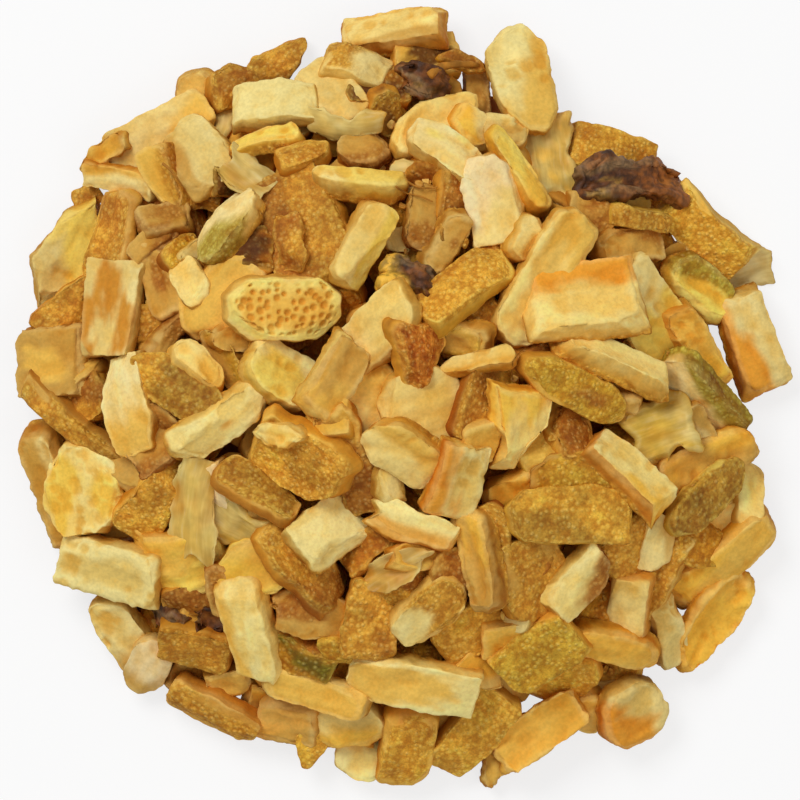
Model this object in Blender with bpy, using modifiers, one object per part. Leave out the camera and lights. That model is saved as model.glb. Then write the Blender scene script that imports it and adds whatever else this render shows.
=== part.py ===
"""A low heap of dried, cut orange peel, modelled as one solid out to its uneven outline.

The heap is a core of packed peel with chips lying on it. Every chip is a slab with a named
outline, dropped in turn onto what already lies there, and all of them are joined to the core.
Lengths are in millimetres until a mesh is made, which is in metres, with +Z up. The origin is
at the bottom centre of the heap, on its flat base.
"""

from collections import namedtuple

import bmesh
import bpy
import numpy as np
from mathutils import Matrix, Vector

METRES = 0.001              # one millimetre

# The heap
DOME_HEIGHT = 18.0          # where the top layer of chips settles, at the middle
DOME_RADIUS = 46.5          # foot of the heap
DOME_POWER = 2.2            # how flat the dome is in the middle
DOME_SHOULDER = 0.9         # how steeply it falls at the foot: less is steeper
MIDDLE = (0.11, 0.15)        # middle of the heap's box in the frame that the chips are laid in
CORE_HEIGHT = 9.0           # packed peel under the loose chips
CORE_RADIUS = 39.0
CORE_POWER = 2.3
CORE_SHOULDER = 0.85
SKIRT_RADIUS = 40.5         # thin foot of the core that ties the outer chips to it
SKIRT_HEIGHT = 0.8

# Chips that lie under the ones in the tables
FILL_COUNT = 150
FILL_SEED = 11
FILL_RADIUS = 38.5          # furthest centre of such a chip
FLAT_SIDE = (55.0, 18.0, 5.0)   # the foot draws in here: direction and half spread in degrees, depth
GAPS = ((37.4, 4.5, 4.8), (6.0, 33.5, 2.0))     # x, y and radius of places that they leave bare
FILL_LENGTH = (7.0, 11.0)
FILL_WIDTH = (4.5, 6.5)
FILL_LOOKS = ("tan", "rind", "cream", "orange", "brown", "gold")
FILL_SHAPES = ("block", "slant", "oval", "stick")

# How chips settle
STEEPEST = 0.62             # largest slope of a chip that leans on others
SINK = 0.3                  # how far a chip beds into what it lies on
SETTLED = 0.3               # share of its excess height that a chip keeps above the dome
UNDERLAP = 1.12             # a lower chip runs on under its neighbours by this much
LEVELS = {"fill": (-3.5, 75), "lower": (-1.0, 82), "upper": (0.5, 88)}  # rise over the dome, percentile
SEEDS = {"fill": 1000, "lower": 2000, "upper": 3000}

# Thickness of the peel by its look
THICKNESS = {
    "cream": 3.4, "white": 3.2, "pale": 3.2, "pink": 3.0, "gold": 3.2, "tan": 3.0, "orange": 3.0,
    "rind": 3.0, "olive": 2.8, "green": 3.0, "brown": 2.8, "char": 2.4, "skin": 0.5,
    "yellow": 3.2, "pitted": 3.2, "dusk": 3.0, "ivory": 3.3, "apricot": 3.2, "umber": 2.8, "rust": 3.0,
    "curled": 2.2,
}

SLIM, SLIM_LEAST = 0.75, 0.3    # a narrow chip is no thicker than this share of its width, and this more
THICKER = (0.88, 1.12)      # least and most of that thickness
LEAST_FACE = 0.45           # share of a rolled chip's width that its top keeps
ROUNDED_EDGE = 0.35         # rounding of a chip's upper edge, in thicknesses
ROUNDED_DROP = 0.55         # how far the rounding falls, in half thicknesses

# Height map on which the chips are dropped
CELL = 0.25
HALF_MAP = 52.0

# The solid
ROOT = 1.4                  # how far a chip's underside reaches into the heap
TOP_TAPER = 0.93            # size of a chip's top against its widest outline
ROOT_TAPER = 0.85
MOST_CORNERS = {"fill": 4, "lower": 4, "upper": 6}
LEAST_SHOWING = 5.0         # area in mm2 that a chip must show to be worth its own slab
CORE_RINGS = 7
CORE_STEPS = 36
BASE_DEPTH = 10.0           # of the block that cuts the base flat
BASE_WIDTH = 200.0
MERGE_DISTANCE = 0.00001    # in metres, for the turned core's seam
PEEL_COLOUR = (0.52, 0.30, 0.07, 1.0)
PEEL_ROUGHNESS = 0.75

# Outlines as corners, in half lengths and half widths
OUTLINES = {
    "block": ((1, 1), (-1, 1), (-1, -1), (1, -1)),
    "brick": ((1, 1), (-1, 1), (-1, -1), (1, -1)),
    "slant": ((1, .75), (.3, 1), (-1, .9), (-.9, -.8), (-.2, -1), (.85, -1)),
    "wedge": ((1, .18), (-.85, 1), (-1, -.85), (.95, -.25)),
    "blade": ((1, .1), (.1, .75), (-.9, .9), (-1, -.8), (.2, -.9)),
    "leaf": ((1, .05), (.45, .8), (-.35, 1), (-1, .1), (-.5, -.8), (.3, -1)),
    "oval": ((1, .35), (.6, 1), (-.6, 1), (-1, .35), (-1, -.35), (-.6, -1), (.6, -1), (1, -.35)),
    "stick": ((1, .5), (.85, 1), (-.85, 1), (-1, .5), (-1, -.5), (-.85, -1), (.85, -1), (1, -.5)),
    "round": ((1, .42), (.42, 1), (-.42, 1), (-1, .42), (-1, -.42), (-.42, -1), (.42, -1), (1, -.42)),
    "egg": ((1, .3), (.55, .75), (-.3, 1), (-1, .6), (-1, -.5), (-.4, -1), (.5, -.8), (1, -.3)),
    "ragged": ((1, .5), (.5, .9), (.05, .7), (-.5, 1), (-1, .55), (-.8, -.1), (-1, -.7), (-.3, -1),
               (.35, -.75), (.9, -.9)),
    "tee": ((1, .45), (1, 1), (.1, .8), (-.2, .35), (-1, .4), (-1, -.35), (-.15, -.4), (.1, -.95),
            (1, -1)),
}
NEAT = {"brick": .04, "oval": .05, "stick": .05, "round": .05}
UNEVEN = 0.10               # jitter of the corners of every other outline
CUT_CORNERS = ("block", "slant", "wedge")
CUT_SIZES = (0.0, .12, .3)
CUT_ODDS = (.3, .4, .3)
CUT_LENGTHWAYS = 0.8        # how much shorter a cut is along one side than along the other

# Chips in the order they fell: x, y, length, width in mm; turn and roll in degrees; outline;
# look as top/sides+stain@heading of the stain in degrees. The top's look sets the thickness.
LOWER_CHIPS = (
    # upper left
    (-24.0, 35.9, 5.4, 4.6, 20, 0, "oval", "pale"),
    (-28.8, 31.2, 12.0, 5.0, 28, 0, "stick", "pale+apricot@0"),
    (-35.6, 28.6, 7.0, 2.3, 210, 0, "blade", "tan/cream+orange"),
    (-23.3, 23.5, 3.5, 2.8, 0, 0, "block", "umber"),
    (-37.5, 23.6, 3.2, 2.6, 30, 0, "block", "rind"),
    (-39.4, 17.0, 13.5, 6.8, 62, 0, "leaf", "gold+pale@200"),
    (-38.8, 10.8, 9.0, 6.6, 55, 0, "wedge", "rind"),
    (-29.5, 8.0, 5.0, 5.0, 0, 0, "block", "rind"),
    (-28.3, 13.8, 8.5, 4.0, -65, 0, "block", "tan+umber"),
    (-29.5, 17.8, 6.0, 3.5, 45, 0, "block", "tan+brown@0"),
    (-28.0, 20.7, 5.5, 3.5, 20, 0, "block", "tan+brown"),
    (-26.0, 17.0, 5.5, 3.0, 50, 0, "stick", "olive/brown"),
    (-24.8, 16.8, 4.0, 2.2, 30, 0, "stick", "pale"),
    (-37.8, 0.0, 7.0, 6.0, 30, 0, "block", "brown+orange"),
    (-38.0, 2.5, 6.5, 2.4, 35, 0, "stick", "tan"),
    (-27.5, -0.6, 9.0, 5.0, -35, 0, "oval", "brown"),
    (-27.5, 7.2, 7.5, 2.5, 50, 0, "stick", "tan+umber"),
    (-21.2, 11.6, 11.0, 7.5, 45, 0, "oval", "gold+apricot@-60"),
    (-20.8, 4.5, 8.0, 3.6, -55, 0, "block", "tan+olive"),
    (-20.0, 7.0, 5.0, 3.6, 0, 0, "block", "tan"),
    # top
    (-21.5, 33.0, 7.0, 2.6, 90, 0, "blade", "skin+gold"),
    (-20.3, 36.3, 5.5, 4.5, 30, 0, "block", "rind+brown"),
    (-14.5, 39.2, 7.5, 5.0, 40, 0, "wedge", "rind+umber@-90"),
    (-8.0, 35.5, 10.0, 5.0, -50, 0, "stick", "pale+gold"),
    (2.4, 40.5, 7.4, 5.2, 12, 0, "block", "gold+umber@mid"),
    (-3.0, 36.5, 6.5, 5.0, 0, 0, "block", "umber"),
    (-1.8, 33.5, 5.5, 4.0, -60, 0, "block", "tan"),
    (-4.7, 29.0, 5.5, 4.5, 0, 0, "round", "tan+brown"),
    (-20.8, 25.0, 3.5, 3.2, 0, 0, "block", "umber"),
    (-12.0, 19.5, 14.0, 9.5, -60, 0, "block", "rind+umber@200"),
    (-18.0, 16.8, 5.5, 5.0, 0, 0, "block", "umber"),
    (-0.6, 18.5, 3.2, 2.6, 0, 0, "block", "cream"),
    (8.6, 35.8, 6.5, 2.6, 90, 0, "stick", "tan+brown"),
    (7.0, 39.2, 6.0, 2.0, -5, 0, "leaf", "brown/orange"),
    (3.4, 32.0, 11.5, 4.8, 40, 0, "oval", "cream"),
    (8.2, 31.2, 6.0, 4.0, -30, 0, "block", "apricot+deep@180"),
    (12.0, 31.0, 5.0, 4.0, 0, 0, "block", "cream+tan"),
    (17.0, 27.5, 10.5, 6.0, 90, 0, "ragged", "skin+orange"),
    (2.0, 25.5, 6.0, 3.6, 0, 0, "block", "skin"),
    (2.6, 20.8, 7.0, 4.6, 80, 0, "stick", "tan+umber@-80"),
    (5.7, 22.5, 8.5, 3.6, 80, 0, "stick", "brown+umber@-90"),
    (5.2, 18.0, 7.0, 3.4, 70, 0, "stick", "tan+brown@180"),
    # right
    (22.0, 21.8, 5.5, 5.0, 0, 0, "block", "brown+tan"),
    (26.5, 17.8, 8.5, 3.8, 8, 0, "block", "tan+brown"),
    (39.6, 14.8, 8.2, 5.2, 20, 0, "ragged", "skin+pale"),
    (8.6, 8.8, 6.0, 5.0, 45, 0, "block", "rind"),
    (7.2, 6.3, 5.5, 4.5, 0, 0, "block", "tan+olive"),
    (28.6, 9.3, 12.0, 7.0, -45, 0, "brick", "pale+yellow@-20"),
    (34.3, 5.8, 11.0, 4.2, -52, 0, "block", "gold+orange@-90"),
    (35.4, 0.0, 12.6, 5.8, -48, 48, "stick", "white/moss+moss@35"),
    (26.0, -0.8, 3.5, 2.5, 0, 0, "block", "tan"),
    (20.5, 3.5, 6.0, 4.0, 30, 0, "block", "gold"),
    (16.0, 5.5, 7.0, 5.0, 30, 0, "block", "brown"),
    # left
    (-41.3, -10.9, 13.6, 4.2, -81, 0, "stick", "tan+pale"),
    (-32.0, -8.5, 7.0, 4.5, -40, 0, "block", "tan"),
    (-29.5, -12.2, 10.0, 5.5, 60, 0, "block", "rind+orange"),
    (-28.8, -6.5, 6.0, 4.5, 30, 0, "block", "tan+umber@-90"),
    (-26.0, -19.5, 9.5, 7.5, 10, 0, "block", "yellow+gold"),
    (-27.5, -3.0, 6.0, 2.8, -35, 0, "stick", "tan+umber"),
    (-21.5, -11.0, 6.0, 4.0, -60, 0, "block", "pink+tan"),
    (-16.0, -14.2, 5.0, 3.0, -20, 0, "block", "tan+pink"),
    (-18.5, -15.5, 9.5, 5.5, -28, 0, "ragged", "skin+olive"),
    (-17.5, -20.0, 8.5, 6.5, 20, 0, "round", "yellow+gold"),
    (-10.8, -25.5, 9.0, 6.0, -10, 0, "ragged", "tan+brown@-90"),
    (-33.5, -24.8, 5.5, 3.4, 20, 0, "ragged", "char"),
    (-27.7, -25.5, 5.0, 3.4, -30, 0, "ragged", "char"),
    (-22.5, -26.0, 5.0, 3.4, 0, 0, "ragged", "char"),
    (-25.0, -23.8, 6.0, 3.6, 10, 0, "block", "brown"),
    (-21.7, -22.5, 6.0, 2.4, -80, 0, "stick", "tan+brown"),
    (-25.5, -32.7, 5.0, 4.0, 0, 0, "ragged", "tan+brown"),
    (-20.5, -33.8, 4.6, 3.6, 20, 0, "block", "tan"),
    (-16.5, -35.8, 4.6, 3.6, -20, 0, "block", "tan+orange"),
    (-32.8, -28.5, 10.2, 5.2, -58, 0, "oval", "pale+gold"),
    # centre
    (-4.5, -0.7, 10.0, 6.5, 50, 0, "block", "cream+gold@90"),
    (2.3, -1.3, 9.0, 9.0, 20, 0, "round", "cream+gold"),
    (9.5, -0.5, 10.0, 6.0, 70, 0, "stick", "orange+brown@160"),
    (9.0, -5.0, 5.0, 4.5, 0, 0, "block", "gold"),
    (-6.5, -7.0, 12.5, 5.5, -70, 0, "ragged", "brown+gold"),
    (-9.0, -2.5, 6.0, 5.0, 0, 0, "block", "gold+orange"),
    (-1.5, -10.0, 5.0, 4.0, 90, 0, "block", "pale+olive"),
    (-11.8, -19.8, 11.5, 6.0, -38, 0, "block", "rind+brown@-60"),
    (-2.0, -20.2, 4.6, 2.6, 20, 0, "block", "tan"),
    (-4.0, -18.0, 7.0, 3.2, 35, 0, "stick", "brown"),
    (1.5, -18.8, 7.5, 3.6, 0, 0, "ragged", "gold"),
    (1.5, -21.5, 4.6, 3.4, 0, 0, "block", "brown"),
    (6.0, -20.0, 6.0, 4.6, 0, 0, "block", "brown+tan"),
    (12.5, -11.3, 7.0, 4.0, 30, 0, "block", "gold+olive@-90"),
    (11.0, -18.5, 12.0, 3.4, -85, 0, "stick", "rind/tan"),
    (14.8, -21.3, 9.5, 8.5, -60, 0, "block", "rind+tan"),
    (16.3, -6.5, 6.5, 4.4, 35, 0, "block", "orange/yellow+orange"),
    (19.7, -4.0, 6.5, 5.0, -80, 0, "block", "brown/gold"),
    (19.5, -8.8, 9.0, 4.5, 0, 0, "block", "olive/tan"),
    (-3.8, -26.0, 8.5, 6.0, 80, 0, "block", "rind+brown"),
    (-0.5, -23.0, 4.0, 2.6, 0, 0, "block", "orange"),
    # lower right
    (26.3, -17.5, 8.0, 6.0, 50, 0, "block", "rind"),
    (30.5, -20.5, 11.0, 4.6, 65, -20, "block", "rind/cream"),
    (29.4, -16.8, 6.5, 3.4, 80, 0, "block", "pale+tan"),
    (34.5, -17.5, 5.5, 4.6, 0, 0, "block", "olive"),
    (38.3, -16.0, 8.0, 5.5, -75, 0, "block", "cream+gold"),
    (37.5, -19.4, 14.0, 5.2, 37, 0, "stick", "gold+orange@180"),
    (34.5, -4.0, 7.5, 3.2, -60, 0, "stick", "tan"),
    (35.3, -7.3, 11.5, 4.4, 15, 0, "stick", "tan+orange"),
    (40.7, -11.6, 8.0, 3.4, 80, 0, "stick", "cream+gold"),
    (26.5, -25.3, 9.0, 5.6, -85, 32, "brick", "cream/apricot"),
    (31.0, -27.3, 8.5, 3.6, -70, 0, "block", "pale+skin"),
    (25.0, -32.4, 6.0, 3.4, -5, 0, "block", "orange+orange"),
    (23.3, -35.0, 3.5, 3.4, 0, 0, "block", "pale"),
    (22.0, -37.2, 5.2, 3.6, 60, 0, "block", "gold"),
    (18.8, -33.0, 8.0, 6.0, 15, 0, "block", "orange"),
    (7.7, -27.2, 8.0, 5.6, 30, 0, "block", "orange+rind"),
    (12.0, -28.2, 5.4, 4.6, 0, 0, "block", "gold"),
    (13.0, -26.0, 3.6, 2.8, 0, 0, "block", "pale"),
    (8.5, -32.0, 5.5, 4.2, 0, 0, "block", "cream+orange@90"),
    (11.0, -43.1, 6.2, 4.6, 250, 0, "wedge", "tan"),
    # bottom
    (-4.9, -41.5, 6.8, 5.6, 90, 0, "oval", "ivory+pale"),
    (-11.8, -30.2, 7.5, 4.2, -18, 0, "ragged", "green"),
    (-8.0, -29.5, 4.0, 3.2, 0, 0, "block", "olive"),
    (-7.0, -38.5, 9.5, 5.2, 0, 0, "oval", "cream+orange@-90"),
    (-13.6, -38.3, 6.6, 5.0, 0, 0, "block", "tan+apricot"),
    (-10.9, -41.3, 4.8, 3.8, 260, 0, "wedge", "orange"),
    (-17.6, -39.2, 2.0, 1.8, 0, 0, "round", "orange"),
)
UPPER_CHIPS = (
    # upper left
    (-41.2, 4.0, 9.0, 8.4, 0, 0, "brick", "tan+gold@mid"),
    (-34.0, 19.2, 10.0, 6.4, 82, -25, "stick", "rind/cream+brown"),
    (-33.9, 10.3, 11.4, 6.8, 87, 0, "brick", "pale+amber@mid"),
    (-24.2, 28.2, 10.4, 7.2, -52, 0, "slant", "pale+tan@180"),
    (-28.0, 25.8, 8.0, 3.8, -65, 0, "stick", "gold+rind@0"),
    (-33.2, 25.6, 10.0, 3.2, -5, 0, "brick", "pale+gold@90"),
    (-25.0, 13.5, 6.5, 4.0, -55, 0, "block", "cream"),
    (-20.6, 19.8, 10.2, 6.6, 55, -25, "oval", "white+moss@-45"),
    (-26.2, 0.8, 13.0, 6.6, -38, 28, "oval", "dusk/ivory+orange"),
    (-24.0, 3.5, 8.0, 3.4, -45, 0, "oval", "cream+gold@-60"),
    (-32.0, -1.0, 12.0, 6.0, -75, 0, "block", "white+gold@-80"),
    (-38.3, -3.7, 17.0, 3.8, -28, 0, "blade", "rind/tan+tan@-100"),
    # top
    (-1.2, 43.1, 12.2, 5.4, 3, 0, "brick", "cream/apricot+tan@-60"),
    (-5.5, 39.0, 7.6, 4.4, -20, 0, "brick", "rind/gold+orange"),
    (-15.1, 34.3, 10.4, 5.1, -2, 0, "brick", "ivory+ivory"),
    (-7.0, 32.0, 10.0, 4.0, 3, 0, "ragged", "skin+orange"),
    (-16.2, 30.2, 8.8, 3.4, 3, -20, "stick", "yellow/rind"),
    (-11.8, 28.3, 6.5, 3.6, 20, 0, "block", "rind"),
    (-18.2, 26.0, 7.5, 5.5, -45, 0, "ragged", "skin+olive"),
    (-13.2, 18.0, 7.5, 4.0, -80, 0, "ragged", "brown+orange"),
    (-5.0, 25.0, 11.5, 4.6, -5, -22, "oval", "cream/rind+yellow"),
    (2.3, 37.0, 6.5, 4.6, -10, 0, "ragged", "char"),
    (13.9, 37.2, 14.8, 7.2, -82, 0, "oval", "ivory+gold@-40"),
    (10.5, 23.0, 10.8, 7.2, -75, 0, "block", "pink+cream@0"),
    (5.2, 28.4, 10.8, 4.9, -34, 0, "oval", "white+yellow"),
    (13.5, 26.6, 12.0, 3.2, -60, 0, "stick", "yellow+orange@-60"),
    (-4.7, 17.8, 11.0, 5.4, 55, -15, "stick", "cream+yellow@0"),
    # right
    (24.8, 28.3, 10.8, 6.2, -14, 0, "brick", "orange/gold"),
    (26.8, 25.6, 14.2, 5.6, 5, 0, "ragged", "char+ember@0"),
    (28.0, 20.9, 8.0, 3.6, -2, 25, "brick", "rind/yellow"),
    (35.6, 19.2, 12.4, 6.3, -34, 42, "brick", "orange/ivory+orange"),
    (35.0, 12.8, 10.5, 5.5, -32, 0, "oval", "yellow+olive@40"),
    (41.1, 6.4, 12.6, 5.8, -68, 0, "brick", "white+deep@-130"),
    (14.2, 18.6, 6.0, 3.4, 55, 0, "stick", "cream"),
    (16.4, 14.0, 18.0, 6.2, 57, 0, "stick", "cream+gold@30"),
    (21.2, 11.4, 14.0, 9.2, 3, -36, "brick", "cream/white+deep@100"),
    (0.8, 13.8, 7.0, 4.4, -15, 0, "ragged", "char+orange@180"),
    (6.8, 12.8, 13.0, 6.5, 38, -25, "stick", "orange/yellow+rind@130"),
    (20.0, 1.0, 15.0, 5.8, -35, -15, "oval", "olive/gold+umber@mid"),
    (24.8, 4.0, 15.5, 4.8, -15, -20, "stick", "cream/rind+gold@0"),
    # centre
    (-14.5, 2.6, 9.5, 7.0, -25, 0, "block", "ivory+yellow@mid"),
    (-13.9, 10.4, 14.0, 8.1, -3, -12, "oval", "pitted/cream"),
    (-2.5, 8.0, 11.0, 7.0, 35, 0, "block", "white+yellow@200"),
    (-8.0, 2.2, 9.8, 5.8, 65, 45, "brick", "tan/ivory+gold"),
    (1.6, 4.6, 8.5, 8.0, -90, 0, "wedge", "rust+ember"),
    (8.9, 3.9, 9.0, 2.2, 5, 0, "stick", "cream+gold@-90"),
    (0.2, -6.3, 9.5, 6.0, -40, 0, "block", "cream+gold@50"),
    (13.2, -3.8, 10.5, 8.0, 85, 0, "tee", "cream+orange@100"),
    (6.2, -9.8, 9.5, 6.4, 80, 0, "brick", "ivory+deep@180"),
    (-11.8, -7.5, 12.5, 8.5, -25, 0, "slant", "rind+orange"),
    (-14.3, -4.5, 8.0, 3.2, 0, 0, "leaf", "cream+orange"),
    (-21.3, -3.0, 13.5, 5.4, 38, -10, "stick", "ivory+apricot@mid"),
    (-17.0, -11.0, 11.0, 5.0, -33, -15, "stick", "dusk/tan"),
    (-9.0, -15.6, 9.0, 7.5, 35, -15, "block", "ivory+ivory"),
    (1.2, -15.0, 11.5, 4.8, -18, 0, "ragged", "ivory+apricot@-110"),
    (26.5, -9.4, 12.4, 5.4, -38, -16, "block", "ivory/apricot+orange@-100"),
    (19.3, -14.0, 15.4, 7.0, 3, 0, "slant", "orange/yellow+dusk@-135"),
    (9.0, -19.0, 12.5, 4.4, -80, 0, "stick", "tan+orange"),
    (20.5, -21.8, 9.5, 5.2, 45, 0, "block", "ivory+brown@0"),
    (3.0, -25.0, 10.5, 6.0, 45, 0, "oval", "rind/cream+white@225"),
    (30.0, -4.0, 9.0, 8.0, 20, 0, "ragged", "skin+olive"),
    # left
    (-37.6, -10.9, 11.4, 11.0, 90, 0, "egg", "ivory+gold@mid"),
    (-34.2, -20.2, 13.2, 6.6, -6, 0, "brick", "ivory+yellow"),
    (-24.3, -13.5, 13.0, 6.5, 80, 0, "ragged", "skin+tan"),
    (-18.0, -27.7, 14.5, 5.6, -82, 0, "stick", "ivory+gold@200"),
    (-24.5, -29.5, 9.0, 5.6, -10, 0, "block", "rind"),
    (-30.1, -31.5, 7.6, 5.0, 70, 0, "oval", "pink"),
    (-22.3, -37.0, 11.5, 5.2, -25, 0, "slant", "rind+apricot@60"),
    # lower right
    (35.3, -11.8, 12.5, 5.2, 35, 0, "oval", "dusk/yellow+olive"),
    (36.2, -26.2, 14.0, 6.6, 238, 0, "egg", "curled+orange@mid"),
    (24.8, -29.2, 11.0, 4.2, -22, 0, "stick", "gold+orange@180"),
    (26.9, -37.2, 8.2, 8.2, 20, 0, "round", "yellow+orange@-100"),
    (16.0, -30.0, 10.5, 7.5, 45, 0, "slant", "olive+moss"),
    (8.2, -39.4, 12.4, 5.8, 60, 0, "brick", "orange/gold+olive"),
    (15.8, -39.2, 12.0, 5.4, 33, 0, "block", "curled+amber"),
    (0.4, -41.3, 10.6, 6.5, 85, 0, "stick", "orange/gold+rust"),
    (1.2, -33.6, 15.6, 6.4, -10, -12, "brick", "ivory+gold@mid"),
    (-10.3, -34.8, 12.5, 4.6, -15, -15, "stick", "gold/white"),
    (-0.9, -20.1, 10.6, 4.4, 27, 0, "leaf", "skin+brown"),
)

Chip = namedtuple("Chip", "place axes corners thickness look layer")

AXIS = (np.arange(round(2 * HALF_MAP / CELL)) + 0.5) * CELL - HALF_MAP
MAP_X, MAP_Y = np.meshgrid(AXIS, AXIS)


def dome(x, y):
    """Height of the settled heap over a point."""
    r = np.clip(np.hypot(x, y) / DOME_RADIUS, 0.0, 1.0)
    return DOME_HEIGHT * (1.0 - r ** DOME_POWER) ** DOME_SHOULDER


def core_height(x, y):
    """Height of the packed core over a point."""
    r = np.clip(np.hypot(x, y) / CORE_RADIUS, 0.0, 1.0)
    return CORE_HEIGHT * (1.0 - r ** CORE_POWER) ** CORE_SHOULDER


def make_outline(length, width, shape, rng):
    """Corners of a chip's outline, uneven, and exactly as long and wide as named."""
    corners = np.array(OUTLINES[shape], float)
    jitter = NEAT.get(shape, UNEVEN)
    corners += rng.uniform(-jitter, jitter, corners.shape)
    if shape in CUT_CORNERS:
        cut_corners = []
        for i, corner in enumerate(corners):
            before, after = corners[i - 1], corners[(i + 1) % len(corners)]
            cut = rng.choice(CUT_SIZES, p=CUT_ODDS)
            if cut:
                cut_corners.append(corner + (before - corner) * cut * CUT_LENGTHWAYS)
                cut_corners.append(corner + (after - corner) * cut)
            else:
                cut_corners.append(corner)
        corners = np.array(cut_corners)
    low, high = corners.min(0), corners.max(0)
    corners = (corners - (low + high) / 2) / ((high - low) / 2)
    return corners * (length / 2, width / 2)


def inside(corners, u, v):
    """Which points lie inside an outline, and how far each is from its edge."""
    within = np.zeros(u.shape, bool)
    distance = np.full(u.shape, np.inf)
    for (u0, v0), (u1, v1) in zip(np.roll(corners, 1, 0), corners):
        along = (v - v0) / (v1 - v0 + 1e-12)
        within ^= ((v0 > v) != (v1 > v)) & (u < u0 + along * (u1 - u0))
        eu, ev = u1 - u0, v1 - v0
        share = np.clip(((u - u0) * eu + (v - v0) * ev) / (eu * eu + ev * ev), 0.0, 1.0)
        distance = np.minimum(distance, np.hypot(u - u0 - share * eu, v - v0 - share * ev))
    return within, distance


def lean(x, y, height):
    """Slope of the ground under a chip, held to the steepest lean."""
    terms = np.stack((x, y, np.ones_like(x)), -1)
    slope = np.linalg.solve(terms.T @ terms, terms.T @ height)[:2]
    steepness = np.hypot(*slope)
    return slope * min(1.0, STEEPEST / max(steepness, 1e-9))


def top_look(look):
    """The first word of a chip's look: what shows on top."""
    return look.split("/")[0].split("+")[0]


def chip_axes(turn, slope, roll):
    """Rows are the chip's long, cross and up axes."""
    up = np.array((-slope[0], -slope[1], 1.0))
    up /= np.linalg.norm(up)
    long = np.array((np.cos(turn), np.sin(turn), 0.0))
    long -= up * (long @ up)
    long /= np.linalg.norm(long)
    cross = np.cross(up, long)
    return np.array((
        long,
        cross * np.cos(roll) + up * np.sin(roll),
        up * np.cos(roll) - cross * np.sin(roll),
    ))


class Heap:
    """Chips as they lie, with a map of the height reached and of the chip that shows there."""

    def __init__(self):
        self.height = np.round(core_height(MAP_X, MAP_Y), 6)
        self.owner = np.full(self.height.shape, -1)
        self.chips = []

    def drop(self, row, layer, seed, grow=1.0):
        """Let one chip down onto the heap."""
        x, y, length, width, turn, roll, shape, look = row
        level, settle = LEVELS[layer]
        rng = np.random.default_rng(seed)
        turn, roll = np.radians(turn), np.radians(roll)
        thickness = THICKNESS[top_look(look)]
        thickness = min(thickness, SLIM * width + SLIM_LEAST) * rng.uniform(*THICKER)
        face = (width - thickness * abs(np.sin(roll))) / np.cos(roll)
        corners = make_outline(length * grow, max(face, LEAST_FACE * width) * grow, shape, rng)

        reach = 0.5 * np.hypot(length, width) * grow + 1.0
        rows = slice(*np.searchsorted(AXIS, (y - reach, y + reach)))
        columns = slice(*np.searchsorted(AXIS, (x - reach, x + reach)))
        px, py = MAP_X[rows, columns] - x, MAP_Y[rows, columns] - y
        ground = self.height[rows, columns]
        u = px * np.cos(turn) + py * np.sin(turn)
        v = py * np.cos(turn) - px * np.sin(turn)
        under, _ = inside(corners, u, v)
        axes = chip_axes(turn, lean(px[under], py[under], ground[under]), roll)

        up = axes[2]
        middle = -(up[0] * px + up[1] * py) / up[2]
        points = np.stack((px, py, middle), -1)
        under, edge = inside(corners, points @ axes[0], points @ axes[1])
        half = 0.5 * thickness / up[2]
        rest = np.percentile((ground - middle + half)[under], settle) - SINK
        goal = dome(x, y) + level
        if rest > goal:
            rest = goal + SETTLED * (rest - goal)
        rest = max(rest, (half - middle)[under].max())

        rounding = 1.0 - np.clip(edge / (ROUNDED_EDGE * thickness), 0.0, 1.0)
        top = rest + middle + half - half * ROUNDED_DROP * (1.0 - np.sqrt(1.0 - rounding ** 2))
        higher = under & (top > ground)
        self.height[rows, columns][higher] = np.round(top[higher], 6)
        self.owner[rows, columns][higher] = len(self.chips)
        self.chips.append(Chip(np.array((x, y, rest)), axes, corners, thickness, look, layer))

    def showing(self):
        """Area of each chip that can be seen from above."""
        seen = self.owner[self.owner >= 0]
        return np.bincount(seen, minlength=len(self.chips)) * CELL ** 2


def fill_rows():
    """Chips of the hidden layer, spread evenly from the foot inwards."""
    rng = np.random.default_rng(FILL_SEED)
    golden_turn = np.pi * (3.0 - np.sqrt(5.0))
    for i in reversed(range(FILL_COUNT)):
        off_side = (np.degrees(golden_turn * i) - FLAT_SIDE[0] + 180.0) % 360.0 - 180.0
        foot = FILL_RADIUS - FLAT_SIDE[2] * np.exp(-(off_side / FLAT_SIDE[1]) ** 2)
        r = foot * np.sqrt((i + 0.5) / FILL_COUNT)
        x = r * np.cos(golden_turn * i) + rng.uniform(-1.0, 1.0)
        y = r * np.sin(golden_turn * i) + rng.uniform(-1.0, 1.0)
        length, width = rng.uniform(*FILL_LENGTH), rng.uniform(*FILL_WIDTH)
        turn = rng.uniform(0.0, 360.0)
        yield x, y, length, width, turn, 0.0, rng.choice(FILL_SHAPES), rng.choice(FILL_LOOKS)


def lay_heap():
    """Drop every chip: the hidden layer, then the lower and the upper ones."""
    heap = Heap()
    for i, row in enumerate(fill_rows()):
        if all(np.hypot(row[0] - x, row[1] - y) > radius for x, y, radius in GAPS):
            heap.drop(row, "fill", SEEDS["fill"] + i)
    for i, row in enumerate(LOWER_CHIPS):
        heap.drop(row, "lower", SEEDS["lower"] + i, UNDERLAP)
    for i, row in enumerate(UPPER_CHIPS):
        heap.drop(row, "upper", SEEDS["upper"] + i)
    return heap


def corner_points(chip, size, lift):
    """A chip's outline at a share of its size, at a height over its middle plane."""
    flat = np.column_stack((chip.corners * size, np.full(len(chip.corners), lift)))
    return chip.place + flat @ chip.axes


def new_object(name, mesh, collection):
    """Object around a mesh, in the given collection."""
    built = bpy.data.objects.new(name, mesh)
    collection.objects.link(built)
    return built


def helper(name, mesh, collection):
    """Object that only shapes another one."""
    built = new_object(name, mesh, collection)
    built.hide_render = True
    built.display_type = "WIRE"
    return built


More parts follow.
